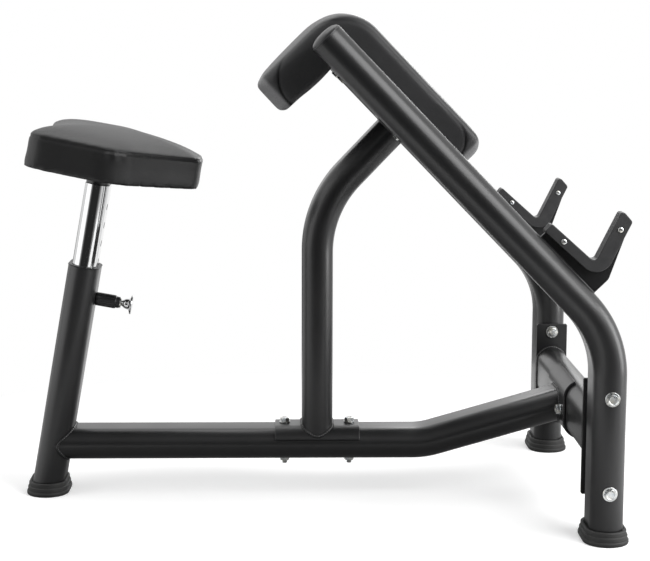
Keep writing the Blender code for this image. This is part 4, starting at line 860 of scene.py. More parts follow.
rings = [[(LEG_X + u, y, CROSS_Z + v) for u, v in SECTION] for y in (-CROSS_END_Y, CROSS_END_Y)]
show("cross_tube_finish", skin("cross_tube_finish", rings), "powder_coat", nodes=["cross_tube"])
ends = (-BEAM_SADDLE_HALF, BEAM_SADDLE_HALF)
loops = [[(LEG_X - b, y, CROSS_Z + a) for a, b in saddle_outline()] for y in ends]
mesh = skin("beam_saddle_plate", loops)
show("beam_saddle_plate", mesh, "powder_coat", nodes=["beam_saddle"], eased=0.0012)
ends = (-POST_SADDLE_HALF, POST_SADDLE_HALF)
loops = [[(POST_X + x, a, BEAM_Z + b) for a, b in saddle_outline()] for x in ends]
mesh = skin("post_saddle_plate", loops)
show("post_saddle_plate", mesh, "powder_coat", nodes=["post_saddle"], eased=0.0012)

half = BRACKET_WIDTH / 2
bottom, top = BRACKET_Z
plate = filleted([(-half, bottom), (half, bottom), (half, top), (-half, top)], [BRACKET_CORNER] * 4)
for side, sign in SIDES:
    loops = [[(LEG_X + x, sign * y, z) for x, z in plate] for y in BRACKET_Y]
    mesh = skin(f"{side}_bracket_plate", loops)
    show(f"{side}_bracket_plate", mesh, "powder_coat", nodes=[f"{side}_leg_bracket"], eased=0.001)
print("saddle outline has", len(saddle_outline()), "points")

# %% [markdown]
# ## Beam and post
#
# The beam runs level from the sleeve, then rises to the cross tube. The post stands on its own
# saddle and leans forward at the top until it meets the rail under the pad.
# A tube is sawn to the wall it is welded to, or runs a little into it, and a bead covers the joint.

# %% Run the beam and the post
KNEE_PAST_POST = 0.209
AIM_BELOW = 0.005
BEAM_SINK = 0.0012
BEAM_KNEE = Vector((POST_X + KNEE_PAST_POST, BEAM_Z))
BEAM_KNEE_RADIUS = 0.160
BEAM_AIM = Vector((LEG_X - SADDLE_OUTER, CROSS_Z - AIM_BELOW))
POST_KNEE = Vector((POST_X, 0.562))
POST_KNEE_RADIUS = 0.217
POST_LEAN = math.radians(43.7)
RAIL_DEPTH = 0.0247
RAIL_UNDER = PAD_UNDER - GAP - RAIL_DEPTH

rise = (BEAM_AIM - BEAM_KNEE).normalized()
beam_end = BEAM_KNEE + rise * ((LEG_X - TUBE_HALF * 0.6 - BEAM_KNEE.x) / rise.x)
beam_start = (SLEEVE_X + BEAM_Z * math.tan(SLEEVE_LEAN), BEAM_Z)
beam_run = bent_run(beam_start, BEAM_KNEE, beam_end, BEAM_KNEE_RADIUS)
beam_rings = oval_rings(beam_run)
for i, (x, y, z) in enumerate(beam_rings[0]):
    out = round_height(y, TUBE_HALF - BEAM_SINK) / math.cos(SLEEVE_LEAN)
    beam_rings[0][i] = (SLEEVE_X + z * math.tan(SLEEVE_LEAN) + out, y, z)
show("beam", skin("beam", beam_rings), "powder_coat", nodes=["main_beam"])

post_along = Vector((math.sin(POST_LEAN), math.cos(POST_LEAN)))
post_head = crossing(POST_KNEE, post_along, flat(on_slope(0, RAIL_UNDER)), flat(UP_SLOPE))
post_run = bent_run((POST_X, BEAM_Z + TUBE_HALF * 0.5), POST_KNEE, post_head, POST_KNEE_RADIUS)
post_rings = oval_rings(post_run, last_face=flat(UP_SLOPE))
show("post", skin("post", post_rings), "powder_coat", nodes=["centre_post"])
print("post meets the rail at x, z", round(post_head.x, 3), round(post_head.y, 3))

# %% [markdown]
# ## Sleeve
#
# The sleeve leans with the seat post and has a plastic bush in its mouth, with a collar that
# shows as a dark ring under a thin light edge. The bush is open, so its rings go up the
# outside, over the collar and down the bore.

# %% Stand the sleeve
SLEEVE_WALL = 0.003
SLEEVE_BORE_END = 0.03
BUSH_COLLAR = 0.002
BUSH_LIP = 0.001
BUSH_WALL = 0.0034
BUSH_DEPTH = 0.05
BUSH_ROUND = 0.0012


def sleeve_ring(section, a, drawn=0.0):
    """A flat oval about the sleeve's axis, drawn in all round."""
    short, long = section
    return [tuple(on_sleeve(u, a, v)) for u, v in oval(short - 2 * drawn, long - 2 * drawn)]


foot_ring = []
for u, v in SECTION:
    reach = (CAP_FLOOR + u * math.sin(SLEEVE_LEAN)) / math.cos(SLEEVE_LEAN)
    foot_ring.append(tuple(on_sleeve(u, reach, v)))
outside = [foot_ring, sleeve_ring(TUBE, SLEEVE_LENGTH)]
bore = [sleeve_ring(TUBE, a, SLEEVE_WALL) for a in (SLEEVE_LENGTH, SLEEVE_BORE_END)]
show("sleeve", skin("sleeve", outside + bore), "powder_coat", nodes=["sleeve_tube"])

mouth = SLEEVE_LENGTH + GAP
top = mouth + BUSH_COLLAR
inside = SLEEVE_WALL + GAP
rings = [sleeve_ring(TUBE, a, inside) for a in (SLEEVE_LENGTH - BUSH_DEPTH, mouth)]
for step in range(9):
    angle = math.pi * step / 8
    drawn = BUSH_ROUND * (1 - math.sin(angle)) if step < 5 else BUSH_ROUND
    rings.append(sleeve_ring(TUBE, mouth + BUSH_COLLAR * (1 - math.cos(angle)) / 2, drawn - BUSH_LIP))
bush_bore = inside + BUSH_WALL
rings += [sleeve_ring(TUBE, top, bush_bore - 0.0008), sleeve_ring(TUBE, top - 0.0008, bush_bore)]
rings.append(sleeve_ring(TUBE, SLEEVE_LENGTH - BUSH_DEPTH, bush_bore))
show("bush", skin("bush", rings, joined=True), "moulded_black", nodes=["sleeve_bush"])
print("sleeve mouth at", [round(v, 3) for v in on_sleeve(0, top)])

# %% [markdown]
# ## Weld beads
#
# A bead laid by hand is a row of overlapping drops. Each drop swells quickly and tapers off,
# so the bead is a thin tube whose radius follows a sawtooth with a rounded crest.
# The path is worked out from the two surfaces that meet, so the bead stays in the corner.

# %% Helper that lays a bead
BEAD = 0.0032
SLIM_BEAD = 0.0026
DROP_PITCH = 0.0046
BEAD_SIDES = 10


def lay_bead(name, path, closed=True, radius=BEAD):
    """A rippled bead along points of a path."""
    points = [Vector(p) for p in path]
    if closed:
        points.append(points[0])
    lengths = [0.0]
    for a, b in zip(points, points[1:]):
        lengths.append(lengths[-1] + (b - a).length)
    total = lengths[-1]
    drops = max(3, round(total / DROP_PITCH))
    count = drops * 4
    rings = []
    for i in range(count if closed else count + 1):
        place = total * i / count
        k = min(int(np.searchsorted(lengths, place, side="right")) - 1, len(points) - 2)
        run = points[k + 1] - points[k]
        centre = points[k] + run * ((place - lengths[k]) / max(run.length, 1e-9))
        along = (points[(k + 2) % (len(points) - 1)] - points[k - 1 if k or closed else 0]).normalized()
        if not closed:
            along = run.normalized()
        share = (i % 4) / 4
        swell = radius * (0.86 + 0.22 * math.sin(math.pi * share) ** 0.8)
        swell *= 1 + 0.05 * math.sin(i * 0.37)
        side = along.orthogonal() if abs(along.y) > 0.999 else along.cross(Vector((0, 1, 0)))
        side.normalize()
        up = side.cross(along)
        turns = [2 * math.pi * j / BEAD_SIDES for j in range(BEAD_SIDES)]
        rings.append([centre + side * swell * math.cos(a) + up * swell * math.sin(a) for a in turns])
    return show(name, skin(name, rings, joined=closed), "powder_coat")


print("one drop of a bead is", round(DROP_PITCH * 1000, 1), "mm long")

# %% [markdown]
# ## Welds on the frame
#
# Beads close the post's foot and head, both ends of the beam and the cross tube's ends.
# Most paths follow from a formula. Where the rising beam meets the rolled saddle, the place is
# found by halving a distance again and again, which needs no formula at all.

# %% Weld the frame together
def reach_saddle(start, direction):
    """Slide a point along the beam until it meets the saddle on the cross tube."""
    low, high = 0.0, 0.4
    for _ in range(40):
        middle = (low + high) / 2
        x = start[0] + direction[0] * middle
        z = start[2] + direction[1] * middle
        inside = x > LEG_X - round_height(z - CROSS_Z)
        low, high = (low, middle) if inside else (middle, high)
    return Vector((x, start[1], z))


path = [(POST_X + u, v, BEAM_Z + round_height(v)) for u, v in SECTION]
lay_bead("post_foot_weld", path)

knee_exit = beam_run[-2][0]
square = Vector((rise.y, -rise.x))
path = []
for u, v in SECTION:
    start = knee_exit + square * u
    path.append(reach_saddle((start.x, v, start.y), rise))
lay_bead("beam_front_weld", path)

path = []
for u, v in SECTION:
    out = round_height(v, TUBE_HALF + BEAM_SINK)
    along = (BEAM_Z + u + out * math.sin(SLEEVE_LEAN)) / math.cos(SLEEVE_LEAN)
    path.append(on_sleeve(out, along, v * 0.995))
lay_bead("beam_rear_weld", path, radius=SLIM_BEAD)

path = []
for u, v in SECTION:
    line = post_head + Vector((post_along.y, -post_along.x)) * u
    met = crossing(line, post_along, flat(on_slope(0, RAIL_UNDER)), flat(UP_SLOPE))
    path.append((met.x, v, met.y))
lay_bead("post_head_weld", path, radius=SLIM_BEAD)

for side, sign in SIDES:
    path = [(LEG_X + u, sign * (CROSS_END_Y - 0.0005), CROSS_Z + v) for u, v in SECTION]
    lay_bead(f"{side}_bracket_weld", path, radius=0.0028)

# %% [markdown]
# ## Bar catches
#
# On each slanted tube stands a steel plate cut to a V, and a thick plastic liner is screwed
# over it, so that a resting bar touches plastic only. Both are flat outlines with round
# corners, carried across the tube and eased along their edges.

# %% Cut the catch plates and liners
CATCH_CORNER = Vector((0.1124, 0.0679))
CATCH_BACK = turned(Vector((1, 0)), math.radians(-4.3))
CATCH_HOOK = turned(Vector((1, 0)), math.radians(70.3))
CATCH_ARM = 0.1025
CATCH_BACK_BAND = 0.0190
CATCH_HOOK_BAND = 0.0258
CATCH_TIP_DROP = 0.0106
CATCH_HEEL = (0.0715, 0.0652)
CATCH_SCREWS = {"back": 0.066, "hook": 0.0705}
CATCH_HALF = 0.017
PLATE_HALF = 0.004
PLATE_SHORT = 0.005
LINER_SKIN = 0.006
LINER_ROUNDS = [0.004, 0.008, 0.006, 0.006, 0.030, 0.004]
PLATE_ROUNDS = [0.001, 0.003, 0.014, 0.004, 0.006, 0.018, 0.001]
BACK_IN = Vector((CATCH_BACK.y, -CATCH_BACK.x))
HOOK_IN = Vector((-CATCH_HOOK.y, CATCH_HOOK.x))


def catch_outlines():
    """The liner's and the plate's outlines as t and n, with their corners rounded."""
    back_end = CATCH_CORNER + CATCH_BACK * CATCH_ARM
    hook_end = CATCH_CORNER + CATCH_HOOK * CATCH_ARM
    below_back = CATCH_CORNER + BACK_IN * CATCH_BACK_BAND
    below_hook = CATCH_CORNER + HOOK_IN * CATCH_HOOK_BAND
    heel = crossing(below_back, CATCH_BACK, below_hook, CATCH_HOOK)
    drop = CATCH_HOOK * CATCH_TIP_DROP
    liner = [back_end, CATCH_CORNER, hook_end, hook_end - drop + HOOK_IN * CATCH_HOOK_BAND, heel]
    liner.append(back_end + BACK_IN * CATCH_BACK_BAND)
    inner = CATCH_CORNER + crossing(BACK_IN * LINER_SKIN, CATCH_BACK, HOOK_IN * LINER_SKIN, CATCH_HOOK)
    back_top = back_end - CATCH_BACK * PLATE_SHORT + BACK_IN * LINER_SKIN
    tip = hook_end - CATCH_HOOK * PLATE_SHORT
    steel = [(back_top.x, TUBE_HALF), back_top, inner, tip + HOOK_IN * LINER_SKIN]
    steel += [tip - drop + HOOK_IN * (CATCH_HOOK_BAND - GAP), CATCH_HEEL, (CATCH_HEEL[0], TUBE_HALF)]
    return filleted(liner, LINER_ROUNDS, 12), filleted(steel, PLATE_ROUNDS, 10)


liner_outline, steel_outline = catch_outlines()
layers = (
    ("liner", "catch_liner", liner_outline, CATCH_HALF, "liner_black", 0.0016),
    ("steel", "catch_plate", steel_outline, PLATE_HALF, "powder_coat", 0.0008),
)
foot_start = min(t for t, n in steel_outline)
foot_run = max(t for t, n in steel_outline if n < TUBE_HALF + 0.004) - foot_start
for side, sign in SIDES:
    y = sign * LEG_Y
    for layer, piece, outline, half, finish, eased in layers:
        loops = [[tuple(on_slope(t, n, y + w)) for t, n in outline] for w in (-half, half)]
        mesh = skin(f"{side}_{layer}", loops)
        show(f"{side}_{layer}", mesh, finish, nodes=[f"{side}_{piece}"], eased=eased)
    for face in (-1, 1):
        stops = [foot_start + foot_run * i / 30 for i in range(31)]
        line = [on_slope(t, TUBE_HALF, y + face * PLATE_HALF) for t in stops]
        place = "inner" if face * sign < 0 else "outer"
        lay_bead(f"{side}_catch_weld_{place}", line, closed=False, radius=0.0024)
print("liner outline has", len(liner_outline), "points")

# %% [markdown]
# ## Bolts, nuts and screws
#
# A forged hexagon head is a hexagon whose corners a cone has cut off, which leaves an arc on
# every flat. The same rule makes that shape here: at each angle the side stops where the cone
# meets the hexagon. Threads are a row of ridges, because only their ends show past the nuts.

# %% Forge the fasteners
HEAD_POINTS = 72
CONE = math.tan(math.radians(30))
WASHER_EDGE = 0.0004
THREAD_PITCH = 0.00125


def hexagon(flats, angle):
    """Distance from the axis to a hexagon's side at an angle."""
    wrapped = (angle + math.pi / 6) % (math.pi / 3) - math.pi / 6
    return flats / 2 / math.cos(wrapped)


def head_rings(flats, low, high):
    """Rings of a hexagon head with its corners cut by a cone."""
    crown = flats / 2 * 0.95
    angles = [2 * math.pi * i / HEAD_POINTS for i in range(HEAD_POINTS)]
    sides = [hexagon(flats, a) for a in angles]
    cut = [high - max(0.0, side - crown) * CONE for side in sides]
    rows = ((sides, [low] * HEAD_POINTS), (sides, cut), ([crown] * HEAD_POINTS, [high] * HEAD_POINTS))
    rings = []
    for radii, heights in rows:
        rings.append([(r * math.cos(a), r * math.sin(a), h) for r, a, h in zip(radii, angles, heights)])
    return rings


def bolt_rings(flats, head, flange, flange_height, shank, length):
    """Shank up to a washer and a hexagon head with a shallow dished top."""
    rings = lathe([(shank, -length), (shank, 0)], HEAD_POINTS)
    washer = [(flange - WASHER_EDGE, 0), (flange, WASHER_EDGE), (flange, flange_height - 0.0005)]
    washer += [(flange - 0.0005, flange_height), (flats / 2 * 1.2, flange_height)]
    rings += lathe(washer, HEAD_POINTS)
    top = flange_height + head
    rings += head_rings(flats, flange_height, top)
    dished = [(flats * 0.40, top), (flats * 0.36, top - 0.0006), (flats * 0.1, top - 0.0007)]
    rings += lathe(dished, HEAD_POINTS)
    return rings


def nut_rings(flats, head, flange, flange_height, shank, stub):
    """A washer, a hexagon nut and the ridged end of the bolt that comes through it."""
    top = flange_height + head
    washer = [(flange - WASHER_EDGE, 0), (flange, WASHER_EDGE), (flange - 0.0005, flange_height)]
    rings = lathe(washer, HEAD_POINTS)
    rings += lathe([(flats / 2 * 1.2, flange_height)], HEAD_POINTS)
    rings += head_rings(flats, flange_height, top)
    rings += lathe([(shank * 1.12, top), (shank * 0.98, top - 0.0005)], HEAD_POINTS)
    turns = int(stub / THREAD_PITCH)
    for i in range(turns):
        low = top + i * THREAD_PITCH
        rings += lathe([(shank * 0.90, low), (shank, low + THREAD_PITCH / 2)], HEAD_POINTS)
    end = top + turns * THREAD_PITCH
    return rings + lathe([(shank * 0.90, end), (shank * 0.80, end + 0.0006)], HEAD_POINTS)


# Across the flats, head height, washer radius, washer height and shank radius
LEG_BOLT = (0.018, 0.0065, 0.013, 0.0025, 0.006)
FRAME_BOLT = (0.016, 0.0075, 0.0105, 0.0025, 0.005)
PAD_BOLT = (0.013, 0.0030, 0.008, 0.0010, 0.004)


def fasten(name, rings, point, direction, node_name, body="frame", spin=0.0):
    """Stand a zinc fastener at a point, turned about its own axis as far as it was tightened."""
    place = axis_place(point, direction) @ Matrix.Rotation(spin, 4, "Z")
    return show(name, skin(name, rings), "zinc", body, [node_name], place=place)


print("leg bolts are", round(LEG_BOLT[0] * 1000, 1), "mm across their flats")

# %% [markdown]
# ## Bolting the frame
#
# Each leg is clamped to its bracket by two bolts, and each saddle is held by two bolts as well.
# No two heads here are tightened to the same angle, because heads that all point one way look
# copied.

# %% Bolt the frame
LEG_BOLT_Z = {"upper": CROSS_Z + 0.0855, "lower": CROSS_Z - 0.084}
OUTER_FACE = LEG_Y + TUBE_LONG / 2 + GAP
NUT_FACE = BRACKET_Y[0] - GAP
BEAM_BOLT_Y = 0.066
POST_BOLT_X = 0.0635
FINAL_TURN = {"upper": 0.3, "lower": 0.9, "rear": 0.2, "front": 0.65, "right": 0.4, "left": 0.8}

for side, sign in SIDES:
    for level, z in LEG_BOLT_Z.items():
        spin = FINAL_TURN[level] + sign * 0.2
        spot = (LEG_X, sign * OUTER_FACE, z)
        name = f"{side}_{level}_leg_bolt"
        fasten(f"{name}_head", bolt_rings(*LEG_BOLT, 0.02), spot, (0, sign, 0), name, spin=spin)
        name = f"{side}_{level}_leg_nut"
        spot = (LEG_X, sign * NUT_FACE, z)
        fasten(f"{name}_end", nut_rings(*LEG_BOLT, 0.004), spot, (0, -sign, 0), name, spin=spin)
    spot = (LEG_X - SADDLE_OUTER - GAP, sign * BEAM_BOLT_Y, CROSS_Z - AIM_BELOW)
    name = f"{side}_beam_bolt"
    fasten(f"{name}_head", bolt_rings(*FRAME_BOLT, 0.01), spot, (-1, 0, 0), name, spin=FINAL_TURN[side])

for end, x in (("rear", -POST_BOLT_X), ("front", POST_BOLT_X)):
    over = (POST_X + x, 0, BEAM_Z + SADDLE_OUTER + GAP)
    under = (POST_X + x, 0, BEAM_Z - TUBE_HALF - GAP)
    name = f"{end}_post_bolt"
    fasten(f"{name}_head", bolt_rings(*FRAME_BOLT, 0.01), over, (0, 0, 1), name, spin=FINAL_TURN[end])
    name = f"{end}_post_nut"
    fasten(f"{name}_end", nut_rings(*FRAME_BOLT, 0.006), under, (0, 0, -1), name, spin=FINAL_TURN[end])

# %% [markdown]
# ## Liner screws
#
# A small domed screw holds each arm of a liner. The heads face the same way on both catches.
# The socket in the head is a few more rings that go down again towards the axis.

# %% Screw the liners on
SCREW_HEAD = 0.0050
SCREW_RISE = 0.0024
SCREW_RIM = 0.0005


def screw_rings():
    """A domed head with a socket pressed into it."""
    profile = [(SCREW_HEAD, -0.0006), (SCREW_HEAD, SCREW_RIM)]
    dome = SCREW_RISE - SCREW_RIM
    profile += [(SCREW_HEAD * math.cos(a), SCREW_RIM + dome * math.sin(a)) for a in (0.3, 0.6, 0.9, 1.05)]
    profile += [(SCREW_HEAD * 0.40, SCREW_RISE - 0.0002), (SCREW_HEAD * 0.36, 0.0012)]
    profile.append((SCREW_HEAD * 0.1, 0.0010))
    return lathe(profile, 36)


arms = (("back", CATCH_BACK, BACK_IN, CATCH_BACK_BAND), ("hook", CATCH_HOOK, HOOK_IN, CATCH_HOOK_BAND))
for side, sign in SIDES:
    for arm, along, inwards, band in arms:
        spot = CATCH_CORNER + along * CATCH_SCREWS[arm] + inwards * band / 2
        place = on_slope(spot.x, spot.y, sign * LEG_Y - CATCH_HALF - GAP)
        name = f"{side}_{arm}_catch_screw"
        fasten(f"{name}_head", screw_rings(), place, (0, -1, 0), name)
print("screw heads are", round(SCREW_HEAD * 2000, 1), "mm across")

# %% [markdown]
# ## Pull pin
#
# The pin that locks the seat post sits in a black moulded barrel with flutes for the fingers.
# A zinc nut closes the barrel, and a chromed trumpet knob is pulled to free the post.
# All of it is turned about one line, so each piece is a lathe profile; the flutes are a wave
# in the radius of the barrel.

# %% Turn the pull pin
PIN_A = SLEEVE_LENGTH - 0.0616
BARREL_RADIUS = 0.013
BARREL_START = TUBE_HALF + GAP
BARREL_END = BARREL_START + 0.0467
# The barrel's foot as (drawn in, up from the sleeve), its neck as (drawn in, down from its end)
BARREL_FOOT = ((0.0015, 0), (0.0004, 0.0008), (0, 0.002), (0, 0.005))
BARREL_NECK = ((0, 0.0082), (0.0018, 0.0062), (0.002, 0.0006), (0.0026, 0))
GRIP_FOOT = 0.006
GRIP_END = 0.010
# The nut as (radius, up from the barrel's end)
BARREL_NUT = [(0.0096, GAP), (0.010, 0.0007), (0.010, 0.0027), (0.0094, 0.0033)]
BARREL_NUT += [(0.0060, 0.0033), (0.0060, 0.0010)]
FLUTES = 12
FLUTE_DEPTH = 0.0013
KNOB_START = BARREL_END + 0.0039
KNOB_LENGTH = 0.021
# The knob's bell as (radius, share of its length)
KNOB_BELL = [(0.0055, 0.02), (0.0057, 0.06), (0.0080, 0.22), (0.0092, 0.32), (0.0098, 0.42)]
KNOB_BELL += [(0.0102, 0.54), (0.0108, 0.66), (0.0121, 0.74), (0.0140, 0.80), (0.0163, 0.84)]
KNOB_RADIUS = 0.019
KNOB_RIM = 0.905

pin_place = axis_place(on_sleeve(0, PIN_A), OUT_SLEEVE)


def fluted(radius, height, depth=0.0):
    """A ring with shallow grooves and flat lands between them."""
    sides = FLUTES * 8
    ring = []
    for i in range(sides):
        angle = 2 * math.pi * i / sides
        groove = max(0.0, math.cos(angle * FLUTES)) ** 1.5
        reach = radius - depth * groove
        ring.append((reach * math.cos(angle), reach * math.sin(angle), height))
    return ring


rings = [fluted(BARREL_RADIUS - drawn, BARREL_START + up) for drawn, up in BARREL_FOOT]
grip_start = BARREL_START + GRIP_FOOT
grip_run = BARREL_END - GRIP_END - grip_start
for share, depth in ((0.0, 0.0), (0.08, FLUTE_DEPTH), (0.92, FLUTE_DEPTH), (1.0, 0.0)):
    rings.append(fluted(BARREL_RADIUS, grip_start + grip_run * share, depth))
rings += [fluted(BARREL_RADIUS - drawn, BARREL_END - down) for drawn, down in BARREL_NECK]
show("barrel", skin("barrel", rings), "moulded_black", nodes=["pin_barrel"], place=pin_place)

rings = lathe([(radius, BARREL_END + up) for radius, up in BARREL_NUT])
show("barrel_ring", skin("barrel_ring", rings), "zinc", nodes=["barrel_nut"], place=pin_place)

profile = [(0.003, KNOB_START + 0.001), (0.0050, KNOB_START)]
profile += [(radius, KNOB_START + KNOB_LENGTH * share) for radius, share in KNOB_BELL]
rim = KNOB_START + KNOB_LENGTH * KNOB_RIM
turns = (-1.2, -0.6, 0, 0.6, 1.2)
profile += [(KNOB_RADIUS - 0.0012 * (1 - math.cos(a)), rim + 0.0018 * math.sin(a)) for a in turns]
face = KNOB_START + KNOB_LENGTH
profile += [(KNOB_RADIUS * share, face + up) for share, up in ((0.85, 0), (0.5, 0.0006), (0.1, 0.0008))]
show("knob", skin("knob", lathe(profile, 64)), "chrome", "pin", ["pull_knob"], place=pin_place)
print("knob ends at", [round(v, 3) for v in pin_place @ Vector((0, 0, profile[-1][1]))])

# %% [markdown]
# ## Seat post
#
# The chromed post is the same flat oval as the frame, only smaller, with a row of holes for
# the pin. The holes need real depth, because the wall's edge catches the light.
# Here a Boolean is right: the drill goes through the front wall and leaves the bore open.

# %% Drill the seat post
SEAT_POST = (0.046, 0.091)
SEAT_POST_WALL = 0.0025
SEAT_POST_EDGE = 0.0006
HOLES = 6
HOLE_PITCH = 0.036
HOLE_RADIUS = 0.0065
POST_LOW = PIN_A - 0.1034
POST_TOP = PIN_A + (HOLES - 1) * HOLE_PITCH + 0.0435
DRILL_START = SEAT_POST[0] / 2 - 0.012
DRILL_LENGTH = 0.03


def applied(obj):
    """Bake the modifiers of an object into a new mesh of its own."""
    graph = bpy.context.evaluated_depsgraph_get()
    mesh = bpy.data.meshes.new_from_object(obj.evaluated_get(graph))
    obj.modifiers.clear()
    obj.data = mesh
    return mesh


rings = [sleeve_ring(SEAT_POST, POST_LOW), sleeve_ring(SEAT_POST, POST_TOP - SEAT_POST_EDGE)]
rings.append(sleeve_ring(SEAT_POST, POST_TOP, SEAT_POST_EDGE))
rings += [sleeve_ring(SEAT_POST, a, SEAT_POST_WALL) for a in (POST_TOP, POST_LOW)]
post_mesh = skin("seat_tube", rings, joined=True)
post_mesh.materials.append(FINISHES["chrome"])
blank = bpy.data.objects.new("blank", post_mesh)
bpy.context.scene.collection.objects.link(blank)
drills = []
for i in range(HOLES):
    mesh = skin("drill", [circle(HOLE_RADIUS, 0, 40), circle(HOLE_RADIUS, DRILL_LENGTH, 40)])
    mesh.transform(axis_place(on_sleeve(DRILL_START, PIN_A + i * HOLE_PITCH), OUT_SLEEVE))
    drill = bpy.data.objects.new("drill", mesh)
    bpy.context.scene.collection.objects.link(drill)
    drills.append(drill)
    cut = blank.modifiers.new("hole", "BOOLEAN")
    cut.operation = "DIFFERENCE"
    cut.object = drill
bpy.context.view_layer.update()
drilled = applied(blank)
for spare in [blank, *drills]:
    bpy.data.objects.remove(spare, do_unlink=True)
drilled.set_sharp_from_angle(angle=SHARP)
show("seat_tube", drilled, "chrome", "seat", ["seat_post"])
print("seat tube has", len(drilled.polygons), "faces")

# %% [markdown]
# ## Seat mount
#
# A spigot stands in the post's open end and widens in steps to a flange, which is bolted to
# the board in the seat. It could be four separate pieces, but it is one welded part,
# so one stack of ovals makes it.

# %% Set the mount on the post
MOUNT_FACE = 0.0203
MOUNT_TOP = 0.0253
SEAT_BOLT_Y = 0.065
# The spigot in the post, the neck, its flare and the flange under the board: section and heights
MOUNT = (
    ((0.0404, 0.0854), (-0.03, GAP)),
    ((0.044, 0.088), (GAP, 0.0153)),
    ((0.046, 0.090), (0.0178,)),
    ((0.050, 0.094), (MOUNT_FACE,)),
    ((0.100, 0.170), (MOUNT_FACE, MOUNT_TOP)),
)

rings = [sleeve_ring(section, POST_TOP + up) for section, heights in MOUNT for up in heights]
show("mount", skin("mount", rings), "powder_coat", "seat", ["seat_mount"], eased=0.0006)
for side, sign in SIDES:
    spot = on_sleeve(0, POST_TOP + MOUNT_FACE - GAP, sign * SEAT_BOLT_Y)
    name = f"{side}_seat_bolt"
    fasten(f"{name}_head", bolt_rings(*PAD_BOLT, 0.004), spot, -UP_SLEEVE, name, "seat")
print("mount has", len(rings), "rings")

# %% [markdown]
# ## Points of a mesh
#
# A cushion has many thousands of points, and a loop over them is slow. Read all at once into
# a table of numbers, they can be moved, averaged with their neighbours or measured in one step.

# %% Helpers for the points of a mesh
def read_points(mesh):
    """The mesh's points as rows of x, y and z."""
    points = np.empty(len(mesh.vertices) * 3, np.float32)
    mesh.vertices.foreach_get("co", points)
    return points.reshape(-1, 3).astype(float)


def write_points(mesh, points):
    """Move the mesh's points."""
    mesh.vertices.foreach_set("co", points.astype(np.float32).reshape(-1))
    mesh.update()


def evened(mesh, values, rounds):
    """Average a value of each point with its neighbours, a number of times."""
    pairs = np.empty(len(mesh.edges) * 2, np.int32)
    mesh.edges.foreach_get("vertices", pairs)
    first, second = pairs.reshape(-1, 2).T
    count = len(values)
    degree = np.maximum(np.bincount(first, minlength=count) + np.bincount(second, minlength=count), 1)
    for _ in range(rounds):
        around = np.bincount(first, values[second], count) + np.bincount(second, values[first], count)
        values = (values + around / degree) / 2
    return values


def distance_to(points, path):
    """Least distance from each point to a line of short straights, in any number of directions."""
    best = np.full(len(points), 1e9)
    for a, b in zip(path, path[1:]):
        a = np.array(a)
        run = np.array(b) - a
        share = np.clip((points - a) @ run / max(run @ run, 1e-12), 0, 1)
        best = np.minimum(best, np.linalg.norm(points - a - share[:, None] * run, axis=1))
    return best


def mark(mesh, name, values):
    """Write a value on each point for the finish to read."""
    mesh.attributes.new(name, "FLOAT", "POINT").data.foreach_set("value", values.astype(np.float32))


print("a point beside a line is", distance_to(np.zeros((1, 2)), [(1, -1), (1, 1)])[0], "m from it")

# %% [markdown]
# ## Filling a cushion
#
# Foam under stretched vinyl swells between its seams and is drawn in at its edges.
# That could be sculpted, but the cloth solver does it the way the real cover does:
# the shape starts a little slim, pressure fills it, and the back edge is held to the board.
# Even square cells come first from a voxel remesh, so that no long triangle shows as a fold.
# Only the outward part of the swelling is kept, within a cap and evened out between neighbours.

# %% Helper that stuffs a cushion
SWELL_FRAMES = 20
EVENING_ROUNDS = 40
HELD_HEIGHT = 0.004
# The cloth solver's settings for a stretched cover
COVER = {
    "quality": 6,
    "mass": 0.2,
    "tension_stiffness": 18,
    "compression_stiffness": 18,
    "shear_stiffness": 6,
    "bending_stiffness": 0.6,
    "use_pressure": True,
    "uniform_pressure_force": 4.0,
    "vertex_group_mass": "held",
}


def stuffed(name, mesh, voxel, held, cap):
    """Remesh a slim cushion, swell it by cloth pressure, cap the movement and subdivide once."""
    cushion = bpy.data.objects.new(name, mesh)
    bpy.context.scene.collection.objects.link(cushion)
    even = cushion.modifiers.new("even cells", "REMESH")
    even.mode = "VOXEL"
    even.voxel_size = voxel
    planed = cushion.modifiers.new("planed steps", "SMOOTH")
    planed.factor = 0.5
    planed.iterations = 4
    applied(cushion)
    before = read_points(cushion.data)
    group = cushion.vertex_groups.new(name="held")
    group.add([i for i, point in enumerate(before) if held(Vector(point))], 1.0, "REPLACE")
    cloth = cushion.modifiers.new("cover", "CLOTH").settings
    for setting, value in COVER.items():
        setattr(cloth, setting, value)
    cloth.effector_weights.gravity = 0
    for step in range(1, SWELL_FRAMES + 1):
        bpy.context.scene.frame_set(step)
    graph = bpy.context.evaluated_depsgraph_get()
    after = read_points(cushion.evaluated_get(graph).data)
    outwards = np.empty(before.size, np.float32)
    cushion.data.vertex_normals.foreach_get("vector", outwards)
    outwards = outwards.reshape(-1, 3)
    swell = np.maximum(((after - before) * outwards).sum(axis=1), 0.0)
    print(name, "swells by up to", round(float(swell.max()) * 1000, 1), "mm")
    swell = evened(cushion.data, cap * np.tanh(swell / cap), EVENING_ROUNDS)
    cushion.modifiers.clear()
    cushion.vertex_groups.clear()
    write_points(cushion.data, before + outwards * swell[:, None])
    bpy.context.scene.frame_set(1)
    finer = cushion.modifiers.new("finer", "SUBSURF")
    finer.levels = 1
    finer.render_levels = 1
    applied(cushion)
    cushion.data.shade_smooth()
    return cushion


def upholster(cushion, cover, node_name, body):
    """Give a stuffed cushion its vinyl, its body and the CAD node it stands for."""
    cushion.data.materials.clear()
    cushion.data.materials.append(FINISHES[cover])
    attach(cushion, body)
    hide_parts(node_name)


print("full simulation")

